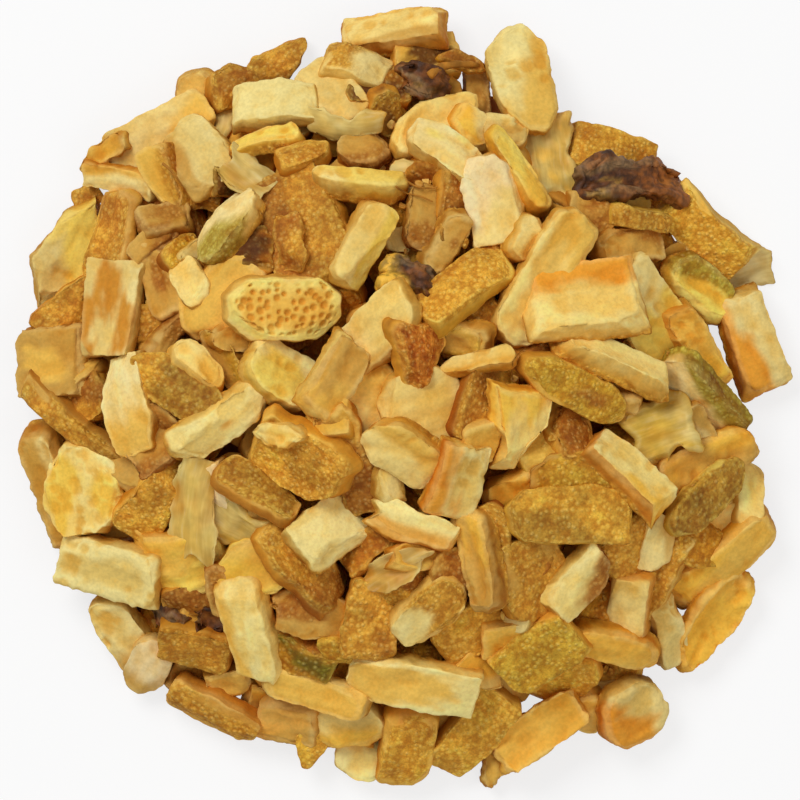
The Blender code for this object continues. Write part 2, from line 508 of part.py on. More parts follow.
def plainer(corners, most):
    """The outline without the corners that shape it least."""
    while len(corners) > most:
        before, after = np.roll(corners, 1, 0), np.roll(corners, -1, 0)
        (u0, v0), (u1, v1) = (corners - before).T, (after - corners).T
        keep = np.arange(len(corners)) != np.abs(u0 * v1 - v0 * u1).argmin()
        corners = corners[keep]
    return corners


def slab_mesh(chip):
    """A chip as a tapered slab: its outline, extruded up to its top and down to its root."""
    chip = chip._replace(corners=plainer(chip.corners, MOST_CORNERS[chip.layer]))
    half = chip.thickness / 2
    top = corner_points(chip, TOP_TAPER, half) * METRES
    root = corner_points(chip, ROOT_TAPER, -half - ROOT) * METRES
    bm = bmesh.new()
    face = bm.faces.new([bm.verts.new(point) for point in root])
    extruded = bmesh.ops.extrude_face_region(bm, geom=[face])["geom"]
    raised = [item for item in extruded if isinstance(item, bmesh.types.BMVert)]
    for vert in raised:
        nearest = np.abs(root - np.array(vert.co)).sum(1).argmin()
        vert.co = top[nearest]
    bmesh.ops.recalc_face_normals(bm, faces=bm.faces)
    mesh = bpy.data.meshes.new("slab")
    bm.to_mesh(mesh)
    bm.free()
    return mesh


def add_core(collection):
    """The packed peel inside: a dome turned from its profile, with a thin foot."""
    radii = np.linspace(0.0, CORE_RADIUS, CORE_RINGS)
    heights = np.maximum(core_height(radii, 0.0), SKIRT_HEIGHT)
    profile = [(r, 0.0, h) for r, h in zip(radii, heights)]
    profile += [(SKIRT_RADIUS, 0.0, SKIRT_HEIGHT), (SKIRT_RADIUS, 0.0, -BASE_DEPTH / 2),
                (0.0, 0.0, -BASE_DEPTH / 2)]
    mesh = bpy.data.meshes.new("core_profile")
    edges = [(i, i + 1) for i in range(len(profile) - 1)]
    mesh.from_pydata([Vector(point) * METRES for point in profile], edges, [])
    turned = helper("core_profile", mesh, collection)
    screw = turned.modifiers.new("turn", "SCREW")
    screw.steps = screw.render_steps = CORE_STEPS
    screw.use_merge_vertices = True
    screw.merge_threshold = MERGE_DISTANCE
    return turned


def add_base_block(collection):
    """Block whose top is the floor, which cuts the base flat."""
    bm = bmesh.new()
    bmesh.ops.create_cube(bm, size=1.0)
    bmesh.ops.scale(bm, vec=(BASE_WIDTH, BASE_WIDTH, BASE_DEPTH), verts=bm.verts)
    bmesh.ops.translate(bm, vec=(0.0, 0.0, -BASE_DEPTH / 2), verts=bm.verts)
    bmesh.ops.scale(bm, vec=(METRES, METRES, METRES), verts=bm.verts)
    block = bpy.data.meshes.new("below_base")
    bm.to_mesh(block)
    bm.free()
    return helper("below_base", block, collection)


def evaluated_mesh(shape):
    """The mesh that an object's modifiers make."""
    graph = bpy.context.evaluated_depsgraph_get()
    return bpy.data.meshes.new_from_object(shape.evaluated_get(graph))


def keep_outer_skin(mesh):
    """Drop every piece of skin but the heap's own: sealed pockets and stray slivers."""
    bm = bmesh.new()
    bm.from_mesh(mesh)
    bm.verts.ensure_lookup_table()
    bm.faces.ensure_lookup_table()
    unseen = set(bm.faces)
    skins = []
    while unseen:
        border = [unseen.pop()]
        skin = set(border)
        while border:
            face = border.pop()
            for edge in face.edges:
                for other in edge.link_faces:
                    if other not in skin:
                        skin.add(other)
                        unseen.discard(other)
                        border.append(other)
        skins.append(skin)
    skins.sort(key=len)
    for skin in skins[:-1]:
        bmesh.ops.delete(bm, geom=list(skin), context="FACES")
    bmesh.ops.triangulate(bm, faces=bm.faces)
    bm.to_mesh(mesh)
    bm.free()


def clear_scene():
    """Start from an empty scene."""
    for existing in list(bpy.data.objects):
        bpy.data.objects.remove(existing, do_unlink=True)


def new_collection(name):
    """Collection in the scene."""
    collection = bpy.data.collections.new(name)
    bpy.context.scene.collection.children.link(collection)
    return collection


def peel_material():
    """Dried peel: golden, dull."""
    material = bpy.data.materials.new("dried_orange_peel")
    material.use_nodes = True
    shader = material.node_tree.nodes["Principled BSDF"]
    shader.inputs["Base Color"].default_value = PEEL_COLOUR
    shader.inputs["Roughness"].default_value = PEEL_ROUGHNESS
    shader.inputs["Metallic"].default_value = 0.0
    material.diffuse_color = PEEL_COLOUR
    return material


def build():
    """Make the heap."""
    clear_scene()
    part = new_collection("dried_orange_peel_heap")
    helpers = new_collection("joined_shapes")
    slabs = new_collection("slabs")

    heap = lay_heap()
    for chip, area in zip(heap.chips, heap.showing()):
        if area > LEAST_SHOWING:
            helper("slab", slab_mesh(chip), slabs)
    core = add_core(helpers)
    join = core.modifiers.new("join_chips", "BOOLEAN")
    join.operation = "UNION"
    join.operand_type = "COLLECTION"
    join.collection = slabs
    join.solver = "EXACT"
    cut = core.modifiers.new("flat_base", "BOOLEAN")
    cut.operation = "DIFFERENCE"
    cut.solver = "EXACT"
    cut.object = add_base_block(helpers)

    mesh = evaluated_mesh(core)
    mesh.name = "peel_heap"
    keep_outer_skin(mesh)
    mesh.transform(Matrix.Translation(Vector((-MIDDLE[0], -MIDDLE[1], 0.0)) * METRES))
    peel = new_object("peel_heap", mesh, part)
    mesh.materials.clear()
    mesh.materials.append(peel_material())
    for used in list(helpers.objects) + list(slabs.objects):
        bpy.data.objects.remove(used, do_unlink=True)
    return peel


build()
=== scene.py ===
"""Looks of a low heap of dried, cut orange peel, seen from straight above.

Every chip is a mesh of its own make: an uneven outline with rounded edges, a top and sides that
bulge, pits where the rind shows, and a colour that runs from rind to pith through its thickness.
The chips lie as part.py's solid has them, because the same rows are dropped in the same order.
"""

from collections import namedtuple

import bpy
import numpy as np
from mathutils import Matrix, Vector


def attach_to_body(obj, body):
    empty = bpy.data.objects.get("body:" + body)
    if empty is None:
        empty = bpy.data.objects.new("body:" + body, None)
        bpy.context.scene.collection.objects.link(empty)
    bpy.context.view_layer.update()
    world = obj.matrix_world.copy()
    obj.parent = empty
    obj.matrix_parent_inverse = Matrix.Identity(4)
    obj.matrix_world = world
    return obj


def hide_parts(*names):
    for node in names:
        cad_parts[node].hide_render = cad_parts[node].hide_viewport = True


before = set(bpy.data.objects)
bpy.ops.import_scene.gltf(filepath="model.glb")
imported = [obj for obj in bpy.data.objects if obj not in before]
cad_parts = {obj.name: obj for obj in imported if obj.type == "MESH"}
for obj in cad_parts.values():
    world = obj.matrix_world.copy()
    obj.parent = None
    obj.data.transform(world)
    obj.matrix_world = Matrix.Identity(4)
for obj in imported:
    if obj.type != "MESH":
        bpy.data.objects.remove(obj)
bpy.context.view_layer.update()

METRES = 0.001              # one millimetre
CAD_NODE = "peel_heap"

# The heap
DOME_HEIGHT = 18.0          # where the top layer of chips settles, at the middle
DOME_RADIUS = 46.5          # foot of the heap
DOME_POWER = 2.2            # how flat the dome is in the middle
DOME_SHOULDER = 0.9         # how steeply it falls at the foot: less is steeper
MIDDLE = (0.11, 0.15)       # middle of the heap's box in the frame that the chips are laid in
CORE_HEIGHT = 9.0           # packed peel under the loose chips
CORE_RADIUS = 39.0
CORE_POWER = 2.3
CORE_SHOULDER = 0.85

# Chips that lie under the ones in the tables
FILL_COUNT = 150
FILL_SEED = 11
FILL_RADIUS = 38.5          # furthest centre of such a chip
FLAT_SIDE = (55.0, 18.0, 5.0)   # the foot draws in here: direction and half spread in degrees, depth
GAPS = ((37.4, 4.5, 4.8), (6.0, 33.5, 2.0))     # x, y and radius of places that they leave bare
FILL_LENGTH = (7.0, 11.0)
FILL_WIDTH = (4.5, 6.5)
FILL_LOOKS = ("tan", "rind", "cream", "orange", "brown", "gold")
FILL_SHAPES = ("block", "slant", "oval", "stick")

# How chips settle
STEEPEST = 0.62             # largest slope of a chip that leans on others
SINK = 0.3                  # how far a chip beds into what it lies on
SETTLED = 0.3               # share of its excess height that a chip keeps above the dome
UNDERLAP = 1.12             # a lower chip runs on under its neighbours by this much
LEVELS = {"fill": (-3.5, 75), "lower": (-1.0, 82), "upper": (0.5, 88)}  # rise over the dome, percentile
# Seeds of the random draws, to which a thing's number is added
SEEDS = {"fill": 1000, "lower": 2000, "upper": 3000, "crumbs": 7000, "strands": 8000,
         "edges": 50000, "shape": 70000, "colour": 90000, "holes": 97000}

# Thickness of the peel by its look
THICKNESS = {
    "cream": 3.4, "white": 3.2, "pale": 3.2, "pink": 3.0, "gold": 3.2, "tan": 3.0, "orange": 3.0,
    "rind": 3.0, "olive": 2.8, "green": 3.0, "brown": 2.8, "char": 2.4, "skin": 0.5,
    "yellow": 3.2, "pitted": 3.2, "dusk": 3.0, "ivory": 3.3, "umber": 2.8, "rust": 3.0,
    "curled": 2.2,
}
SLIM, SLIM_LEAST = 0.75, 0.3    # a narrow chip is no thicker than this share of its width, and this more
THICKER = (0.88, 1.12)      # least and most of that thickness
LEAST_FACE = 0.45           # share of a rolled chip's width that its top keeps
ROUNDED_EDGE = 0.35         # rounding of a chip's upper edge, in thicknesses
ROUNDED_DROP = 0.55         # how far the rounding falls, in half thicknesses

# Height map on which the chips are dropped
CELL = 0.25
HALF_MAP = 52.0

# Outlines as corners, in half lengths and half widths
OUTLINES = {
    "block": ((1, 1), (-1, 1), (-1, -1), (1, -1)),
    "brick": ((1, 1), (-1, 1), (-1, -1), (1, -1)),
    "slant": ((1, .75), (.3, 1), (-1, .9), (-.9, -.8), (-.2, -1), (.85, -1)),
    "wedge": ((1, .18), (-.85, 1), (-1, -.85), (.95, -.25)),
    "blade": ((1, .1), (.1, .75), (-.9, .9), (-1, -.8), (.2, -.9)),
    "leaf": ((1, .05), (.45, .8), (-.35, 1), (-1, .1), (-.5, -.8), (.3, -1)),
    "oval": ((1, .35), (.6, 1), (-.6, 1), (-1, .35), (-1, -.35), (-.6, -1), (.6, -1), (1, -.35)),
    "stick": ((1, .5), (.85, 1), (-.85, 1), (-1, .5), (-1, -.5), (-.85, -1), (.85, -1), (1, -.5)),
    "round": ((1, .42), (.42, 1), (-.42, 1), (-1, .42), (-1, -.42), (-.42, -1), (.42, -1), (1, -.42)),
    "egg": ((1, .3), (.55, .75), (-.3, 1), (-1, .6), (-1, -.5), (-.4, -1), (.5, -.8), (1, -.3)),
    "ragged": ((1, .5), (.5, .9), (.05, .7), (-.5, 1), (-1, .55), (-.8, -.1), (-1, -.7), (-.3, -1),
               (.35, -.75), (.9, -.9)),
    "tee": ((1, .45), (1, 1), (.1, .8), (-.2, .35), (-1, .4), (-1, -.35), (-.15, -.4), (.1, -.95),
            (1, -1)),
}
NEAT = {"brick": .04, "oval": .05, "stick": .05, "round": .05}
UNEVEN = 0.10               # jitter of the corners of every other outline
CUT_CORNERS = ("block", "slant", "wedge")
CUT_SIZES = (0.0, .12, .3)
CUT_ODDS = (.3, .4, .3)
CUT_LENGTHWAYS = 0.8        # how much shorter a cut is along one side than along the other

# Chips in the order they fell: x, y, length, width in mm; turn and roll in degrees; outline; look.
# A look is top/sides+stain@heading of the stain in degrees. Its top sets the chip's thickness.
LOWER_CHIPS = (
    # upper left
    (-24.0, 35.9, 5.4, 4.6, 20, 0, "oval", "pale"),
    (-28.8, 31.2, 12.0, 5.0, 28, 0, "stick", "pale+gold@0"),
    (-35.6, 28.6, 7.0, 2.3, 210, 0, "blade", "tan/cream+orange"),
    (-23.3, 23.5, 3.5, 2.8, 0, 0, "block", "umber"),
    (-37.5, 23.6, 3.2, 2.6, 30, 0, "block", "rind"),
    (-39.4, 17.0, 13.5, 6.8, 62, 0, "leaf", "yellow+pale@200"),
    (-38.8, 10.8, 9.0, 6.6, 55, 0, "wedge", "rind"),
    (-29.5, 8.0, 5.0, 5.0, 0, 0, "block", "rind"),
    (-28.3, 13.8, 8.5, 4.0, -65, 0, "block", "tan+brown@mid"),
    (-29.5, 17.8, 6.0, 3.5, 45, 0, "block", "tan+brown@0"),
    (-28.0, 20.7, 5.5, 3.5, 20, 0, "block", "tan+brown"),
    (-26.0, 17.0, 5.5, 3.0, 50, 0, "stick", "olive/brown"),
    (-24.8, 16.8, 4.0, 2.2, 30, 0, "stick", "pale"),
    (-37.8, 0.0, 7.0, 6.0, 30, 0, "block", "brown+orange"),
    (-38.0, 2.5, 6.5, 2.4, 35, 0, "stick", "tan"),
    (-27.5, -0.6, 9.0, 5.0, -35, 0, "oval", "brown"),
    (-27.5, 7.2, 7.5, 2.5, 50, 0, "stick", "tan+brown"),
    (-21.2, 11.6, 11.0, 7.5, 45, 0, "oval", "gold+apricot@-60"),
    (-20.8, 4.5, 8.0, 3.6, -55, 0, "block", "tan+olive"),
    (-20.0, 7.0, 5.0, 3.6, 0, 0, "block", "tan"),
    # top
    (-21.5, 33.0, 7.0, 2.6, 90, 0, "blade", "skin+gold"),
    (-20.3, 36.3, 5.5, 4.5, 30, 0, "block", "rind+brown"),
    (-14.5, 39.2, 7.5, 5.0, 40, 0, "wedge", "rind+umber@-90"),
    (-8.0, 35.5, 10.0, 5.0, -50, 0, "stick", "pale+gold"),
    (2.4, 40.5, 7.4, 5.2, 12, 0, "block", "gold+umber@mid"),
    # This chip's umber look is partly its colour and partly painted shade of the dark gap it lies in
    (-3.0, 36.5, 6.5, 5.0, 0, 0, "block", "umber"),
    (-1.8, 33.5, 5.5, 4.0, -60, 0, "block", "dusk+umber@mid"),
    (-4.7, 29.0, 5.5, 4.5, 0, 0, "round", "tan+brown"),
    (-20.8, 25.0, 3.5, 3.2, 0, 0, "block", "umber"),
    (-12.0, 19.5, 14.0, 9.5, -60, 0, "block", "rind+brown@200"),
    (-18.0, 16.8, 5.5, 5.0, 0, 0, "block", "umber"),
    (-0.6, 18.5, 3.2, 2.6, 0, 0, "block", "cream"),
    (8.6, 35.8, 6.5, 2.6, 90, 0, "stick", "tan+brown"),
    (7.0, 39.2, 6.0, 2.0, -5, 0, "leaf", "brown/orange"),
    (3.4, 32.0, 11.5, 4.8, 40, 0, "oval", "cream"),
    (8.2, 31.2, 6.0, 4.0, -30, 0, "block", "pale+orange@180"),
    (12.0, 31.0, 5.0, 4.0, 0, 0, "block", "cream+tan"),
    (17.0, 27.5, 10.5, 6.0, 90, 0, "ragged", "skin+orange"),
    (2.0, 25.5, 6.0, 3.6, 0, 0, "block", "skin"),
    (2.6, 20.8, 7.0, 4.6, 80, 0, "stick", "tan+brown@-80"),
    (5.7, 22.5, 8.5, 3.6, 80, 0, "stick", "brown+umber@-90"),
    (5.2, 18.0, 7.0, 3.4, 70, 0, "stick", "tan+brown@mid"),
    # right
    (22.0, 21.8, 5.5, 5.0, 0, 0, "block", "brown+tan"),
    (26.5, 17.8, 8.5, 3.8, 8, 0, "block", "tan+brown"),
    # The white stain on this membrane is painted light, lifting the shade that its tilt gives it
    (39.6, 14.8, 8.2, 5.2, 20, 0, "ragged", "skin+white"),
    (8.6, 8.8, 6.0, 5.0, 45, 0, "block", "rind"),
    (7.2, 6.3, 5.5, 4.5, 0, 0, "block", "tan+olive"),
    (28.6, 9.3, 12.0, 7.0, -45, 0, "brick", "yellow+pale@110"),
    (34.3, 5.8, 11.0, 4.2, -52, 0, "block", "gold+orange@-90"),
    (35.4, 0.0, 12.6, 5.8, -48, 48, "stick", "white/moss+moss@35"),
    (26.0, -0.8, 3.5, 2.5, 0, 0, "block", "tan"),
    (20.5, 3.5, 6.0, 4.0, 30, 0, "block", "gold+cream"),
    (16.0, 5.5, 7.0, 5.0, 30, 0, "block", "brown"),
    # left
    (-41.3, -10.9, 13.6, 4.2, -81, 0, "stick", "tan+pale"),
    (-32.0, -8.5, 7.0, 4.5, -40, 0, "block", "tan"),
    (-29.5, -12.2, 10.0, 5.5, 60, 0, "block", "rind+orange"),
    (-28.8, -6.5, 6.0, 4.5, 30, 0, "block", "tan+brown@-90"),
    (-26.0, -19.5, 9.5, 7.5, 10, 0, "block", "yellow+gold"),
    (-27.5, -3.0, 6.0, 2.8, -35, 0, "stick", "tan+brown"),
    (-21.5, -11.0, 6.0, 4.0, -60, 0, "block", "pink+tan"),
    (-16.0, -14.2, 5.0, 3.0, -20, 0, "block", "tan+cream"),
    (-18.5, -15.5, 9.5, 5.5, -28, 0, "ragged", "skin+olive"),
    (-17.5, -20.0, 8.5, 6.5, 20, 0, "round", "yellow+gold"),
    (-10.8, -25.5, 9.0, 6.0, -10, 0, "ragged", "tan+brown@mid"),
    (-33.5, -24.8, 5.5, 3.4, 20, 0, "ragged", "char"),
    (-27.7, -25.5, 5.0, 3.4, -30, 0, "ragged", "char"),
    (-22.5, -26.0, 5.0, 3.4, 0, 0, "ragged", "char"),
    (-25.0, -23.8, 6.0, 3.6, 10, 0, "block", "brown"),
    (-21.7, -22.5, 6.0, 2.4, -80, 0, "stick", "tan+brown"),
    (-25.5, -32.7, 5.0, 4.0, 0, 0, "ragged", "tan+brown"),
    (-20.5, -33.8, 4.6, 3.6, 20, 0, "block", "tan"),
    (-16.5, -35.8, 4.6, 3.6, -20, 0, "block", "tan+orange"),
    (-32.8, -28.5, 10.2, 5.2, -58, 0, "oval", "pale+tan@-60"),
    # centre
    (-4.5, -0.7, 10.0, 6.5, 50, 0, "block", "cream+gold@90"),
    (2.3, -1.3, 9.0, 9.0, 20, 0, "round", "cream+gold"),
    (9.5, -0.5, 10.0, 6.0, 70, 0, "stick", "orange+brown@160"),
    (9.0, -5.0, 5.0, 4.5, 0, 0, "block", "gold"),
    (-6.5, -7.0, 12.5, 5.5, -70, 0, "ragged", "brown+gold"),
    (-9.0, -2.5, 6.0, 5.0, 0, 0, "block", "gold+orange"),
    (-1.5, -10.0, 5.0, 4.0, 90, 0, "block", "pale+olive"),
    (-11.8, -19.8, 11.5, 6.0, -38, 0, "block", "rind+brown@-60"),
    (-2.0, -20.2, 4.6, 2.6, 20, 0, "block", "tan"),
    (-4.0, -18.0, 7.0, 3.2, 35, 0, "stick", "brown"),
    (1.5, -18.8, 7.5, 3.6, 0, 0, "ragged", "gold"),
    (1.5, -21.5, 4.6, 3.4, 0, 0, "block", "brown"),
    (6.0, -20.0, 6.0, 4.6, 0, 0, "block", "brown+tan"),
    (12.5, -11.3, 7.0, 4.0, 30, 0, "block", "gold+olive@-90"),
    (11.0, -18.5, 12.0, 3.4, -85, 0, "stick", "rind/brown+umber@mid"),
    (14.8, -21.3, 9.5, 8.5, -60, 0, "block", "rind+tan"),
    (16.3, -6.5, 6.5, 4.4, 35, 0, "block", "orange/yellow+gold"),
    (19.7, -4.0, 6.5, 5.0, -80, 0, "block", "brown/gold"),
    (19.5, -8.8, 9.0, 4.5, 0, 0, "block", "olive/tan"),
    (-3.8, -26.0, 8.5, 6.0, 80, 0, "block", "rind+brown"),
    (-0.5, -23.0, 4.0, 2.6, 0, 0, "block", "orange"),
    # lower right
    (26.3, -17.5, 8.0, 6.0, 50, 0, "block", "rind"),
    (30.5, -20.5, 11.0, 4.6, 65, -20, "block", "rind/cream"),
    (29.4, -16.8, 6.5, 3.4, 80, 0, "block", "pale+tan"),
    (34.5, -17.5, 5.5, 4.6, 0, 0, "block", "olive"),
    (38.3, -16.0, 8.0, 5.5, -75, 0, "block", "cream+cream"),
    (37.5, -19.4, 14.0, 5.2, 37, 0, "stick", "gold+orange@180"),
    (34.5, -4.0, 7.5, 3.2, -60, 0, "stick", "tan+pale@mid"),
    (35.3, -7.3, 11.5, 4.4, 15, 0, "stick", "tan+orange"),
    (40.7, -11.6, 8.0, 3.4, 80, 0, "stick", "cream+gold"),
    (26.5, -25.3, 9.0, 5.6, -85, 32, "brick", "cream/apricot"),
    (31.0, -27.3, 8.5, 3.6, -70, 0, "block", "pale+skin"),
    (25.0, -32.4, 6.0, 3.4, -5, 0, "block", "orange+orange"),
    (23.3, -35.0, 3.5, 3.4, 0, 0, "block", "pale"),
    (22.0, -37.2, 5.2, 3.6, 60, 0, "block", "gold+cream"),
    (18.8, -33.0, 8.0, 6.0, 15, 0, "block", "orange"),
    (7.7, -27.2, 8.0, 5.6, 30, 0, "block", "orange+rind"),
    (12.0, -28.2, 5.4, 4.6, 0, 0, "block", "gold"),
    (13.0, -26.0, 3.6, 2.8, 0, 0, "block", "pale"),
    (8.5, -32.0, 5.5, 4.2, 0, 0, "block", "cream+orange@90"),
    (11.0, -43.1, 6.2, 4.6, 250, 0, "wedge", "tan"),
    # bottom
    (-4.9, -41.5, 6.8, 5.6, 90, 0, "oval", "ivory+ivory"),
    (-11.8, -30.2, 7.5, 4.2, -18, 0, "ragged", "green"),
    (-8.0, -29.5, 4.0, 3.2, 0, 0, "block", "olive"),
    (-7.0, -38.5, 9.5, 5.2, 0, 0, "oval", "cream+orange@-90"),
    (-13.6, -38.3, 6.6, 5.0, 0, 0, "block", "tan+apricot"),
    (-10.9, -41.3, 4.8, 3.8, 260, 0, "wedge", "orange"),
    (-17.6, -39.2, 2.0, 1.8, 0, 0, "round", "orange"),
)
UPPER_CHIPS = (
    # upper left
    (-41.2, 4.0, 9.0, 8.4, 0, 0, "brick", "tan+gold@mid"),
    (-34.0, 19.2, 10.0, 6.4, 82, -25, "stick", "rind/cream+brown"),
    (-33.9, 10.3, 11.4, 6.8, 87, 0, "brick", "pale+amber@mid"),
    # The tan stain towards this chip's lower left is partly its colour and partly painted shade
    (-24.2, 28.2, 10.4, 7.2, -52, 0, "slant", "pale+tan@220"),
    (-28.0, 25.8, 8.0, 3.8, -65, 0, "stick", "gold+rind@0"),
    (-33.2, 25.6, 10.0, 3.2, -5, 0, "brick", "pale+gold@90"),
    (-25.0, 13.5, 6.5, 4.0, -55, 0, "block", "cream"),
    (-20.6, 19.8, 10.2, 6.6, 55, -25, "oval", "white+moss@-90"),
    (-26.2, 0.8, 13.0, 6.6, -38, 28, "oval", "dusk/ivory+orange"),
    (-24.0, 3.5, 8.0, 3.4, -45, 0, "oval", "cream+gold@-60"),
    (-32.0, -1.0, 12.0, 6.0, -75, 0, "block", "white+gold@-80"),
    (-38.3, -3.7, 17.0, 3.8, -28, 0, "blade", "rind/tan+tan@-100"),
    # top
    (-1.2, 43.1, 12.2, 5.4, 3, 0, "brick", "cream/apricot+tan@-60"),
    (-5.5, 39.0, 7.6, 4.4, -20, 0, "brick", "rind/cream+pale@0"),
    (-15.1, 34.3, 10.4, 5.1, -2, 0, "brick", "ivory+ivory"),
    (-7.0, 32.0, 10.0, 4.0, 3, 0, "ragged", "skin+gold"),
    (-16.2, 30.2, 8.8, 3.4, 3, -20, "stick", "yellow/rind"),
    (-11.8, 28.3, 6.5, 3.6, 20, 0, "block", "rind"),
    (-18.2, 26.0, 7.5, 5.5, -45, 0, "ragged", "skin+tan"),
    (-13.2, 18.0, 7.5, 4.0, -80, 0, "ragged", "brown+orange"),
    (-5.0, 25.0, 11.5, 4.6, -5, -22, "oval", "cream/rind+yellow"),
    (2.3, 37.0, 6.5, 4.6, -10, 0, "ragged", "char"),
    (13.9, 37.2, 14.8, 7.2, -82, 0, "oval", "ivory+gold@-40"),
    (10.5, 23.0, 10.8, 7.2, -75, 0, "block", "pink+cream@-60"),
    (5.2, 28.4, 10.8, 4.9, -34, 0, "oval", "white+yellow"),
    (13.5, 26.6, 12.0, 3.2, -60, 0, "stick", "yellow+orange@-60"),
    (-4.7, 17.8, 11.0, 5.4, 55, -15, "stick", "cream+yellow@0"),
    # right
    (24.8, 28.3, 10.8, 6.2, -14, 0, "brick", "orange/gold"),
    (26.8, 25.6, 14.2, 5.6, 5, 0, "ragged", "char+ember@0"),
    (28.0, 20.9, 8.0, 3.6, -2, 25, "brick", "rind/yellow"),
    (35.6, 19.2, 12.4, 6.3, -34, 42, "brick", "orange/ivory+orange"),
    (35.0, 12.8, 10.5, 5.5, -32, 0, "oval", "yellow+moss@60"),
    (41.1, 6.4, 12.6, 5.8, -68, 0, "brick", "pale+deep@-130"),
    (14.2, 18.6, 6.0, 3.4, 55, 0, "stick", "cream"),
    (16.4, 14.0, 18.0, 6.2, 57, 0, "stick", "cream+gold@30"),
    (21.2, 11.4, 14.0, 9.2, 3, -36, "brick", "cream/white+deep@95"),
    (0.8, 13.8, 7.0, 4.4, -15, 0, "ragged", "char+orange@180"),
    (6.8, 12.8, 13.0, 6.5, 38, -25, "stick", "orange/yellow+rind@130"),
    (20.0, 1.0, 15.0, 5.8, -35, -15, "oval", "olive/gold+brown@mid"),
    (24.8, 4.0, 15.5, 4.8, -15, -20, "stick", "cream/rind+cream"),
    # centre
    (-14.5, 2.6, 9.5, 7.0, -25, 0, "block", "ivory+yellow@mid"),
    (-13.9, 10.4, 14.0, 8.1, -3, -12, "oval", "pitted/cream"),
    # The tan stain on this chip's lower side is partly its colour and partly painted shade
    (-2.5, 8.0, 11.0, 7.0, 35, 0, "block", "pale+tan@-80"),
    (-8.0, 2.2, 9.8, 5.8, 65, 45, "brick", "tan/ivory+gold"),
    (1.6, 4.6, 8.5, 8.0, -90, 0, "wedge", "rust+ember"),
    (8.9, 3.9, 9.0, 2.2, 5, 0, "stick", "cream+gold@-90"),
    (0.2, -6.3, 9.5, 6.0, -40, 0, "block", "cream+gold@50"),
    (13.2, -3.8, 10.5, 8.0, 85, 0, "tee", "cream+orange@100"),
    (6.2, -9.8, 9.5, 6.4, 80, 0, "brick", "ivory+deep@180"),
    (-11.8, -7.5, 12.5, 8.5, -25, 0, "slant", "rind+orange"),
    (-14.3, -4.5, 8.0, 3.2, 0, 0, "leaf", "cream+orange"),
    (-21.3, -3.0, 13.5, 5.4, 38, -10, "stick", "ivory+apricot@mid"),
    (-17.0, -11.0, 11.0, 5.0, -33, -15, "stick", "dusk/tan"),
    (-9.0, -15.6, 9.0, 7.5, 35, -15, "block", "ivory+ivory"),
    (1.2, -15.0, 11.5, 4.8, -18, 0, "ragged", "ivory+apricot@-110"),
    (26.5, -9.4, 12.4, 5.4, -38, -16, "block", "ivory/apricot+orange@-100"),
    (19.3, -14.0, 15.4, 7.0, 3, 0, "slant", "orange/yellow+dusk@-135"),
    (9.0, -19.0, 12.5, 4.4, -80, 0, "stick", "tan+orange"),
    (20.5, -21.8, 9.5, 5.2, 45, 0, "block", "ivory+brown@0"),
    (3.0, -25.0, 10.5, 6.0, 45, 0, "oval", "rind/cream+ivory@225"),
    (30.0, -4.0, 9.0, 8.0, 20, 0, "ragged", "skin+olive"),
    # left
    (-37.6, -10.9, 11.4, 11.0, 90, 0, "egg", "ivory+yellow@mid"),
    (-34.2, -20.2, 13.2, 6.6, -6, 0, "brick", "ivory+ivory"),
    (-24.3, -13.5, 13.0, 6.5, 80, 0, "ragged", "skin+tan"),
    (-18.0, -27.7, 14.5, 5.6, -82, 0, "stick", "ivory+gold@200"),
    (-24.5, -29.5, 9.0, 5.6, -10, 0, "block", "rind"),
    (-30.1, -31.5, 7.6, 5.0, 70, 0, "oval", "pink+tan@-110"),
    (-22.3, -37.0, 11.5, 5.2, -25, 0, "slant", "rind+apricot@60"),
    # lower right
    (35.3, -11.8, 12.5, 5.2, 35, 0, "oval", "dusk/yellow+olive"),
    (36.2, -26.2, 14.0, 6.6, 238, 0, "egg", "curled+orange@mid"),
    (24.8, -29.2, 11.0, 4.2, -22, 0, "stick", "gold+orange@180"),
    (26.9, -37.2, 8.2, 8.2, 20, 0, "round", "pale+deep@-110"),
    (16.0, -30.0, 10.5, 7.5, 45, 0, "slant", "olive+moss"),
    (8.2, -39.4, 12.4, 5.8, 60, 0, "brick", "orange/gold+orange"),
    (15.8, -39.2, 12.0, 5.4, 33, 0, "block", "curled+gold"),
    (0.4, -41.3, 10.6, 6.5, 85, 0, "stick", "orange/gold+rust"),
    (1.2, -33.6, 15.6, 6.4, -10, -12, "brick", "ivory+gold@mid"),
    (-10.3, -34.8, 12.5, 4.6, -15, -15, "stick", "gold/white"),
    (-0.9, -20.1, 10.6, 4.4, 27, 0, "leaf", "skin+tan"),
)

# ---- looks ----

# The joined mesh that a chip goes into, by the look of its top
KINDS = {
    "pale_chips": ("white", "ivory", "cream", "pale", "pink"),
    "golden_chips": ("yellow", "gold", "tan", "apricot", "curled"),
    "rind_chips": ("rind", "orange", "pitted", "olive", "green", "dusk", "brown", "umber", "rust"),
    "membranes": ("skin",),
    "charred_bits": ("char",),
}
WHOLE_KINDS = ("membranes", "charred_bits")     # not parted into lower and upper chips
PITHS = KINDS["pale_chips"] + KINDS["golden_chips"]
LIGHT_PITHS = ("white", "ivory", "cream", "pink")
RINDS = KINDS["rind_chips"]
RINDS_BELOW = RINDS + ("moss",)
PEBBLED_STAINS = ("rind", "olive", "green", "dusk", "brown", "umber", "moss")

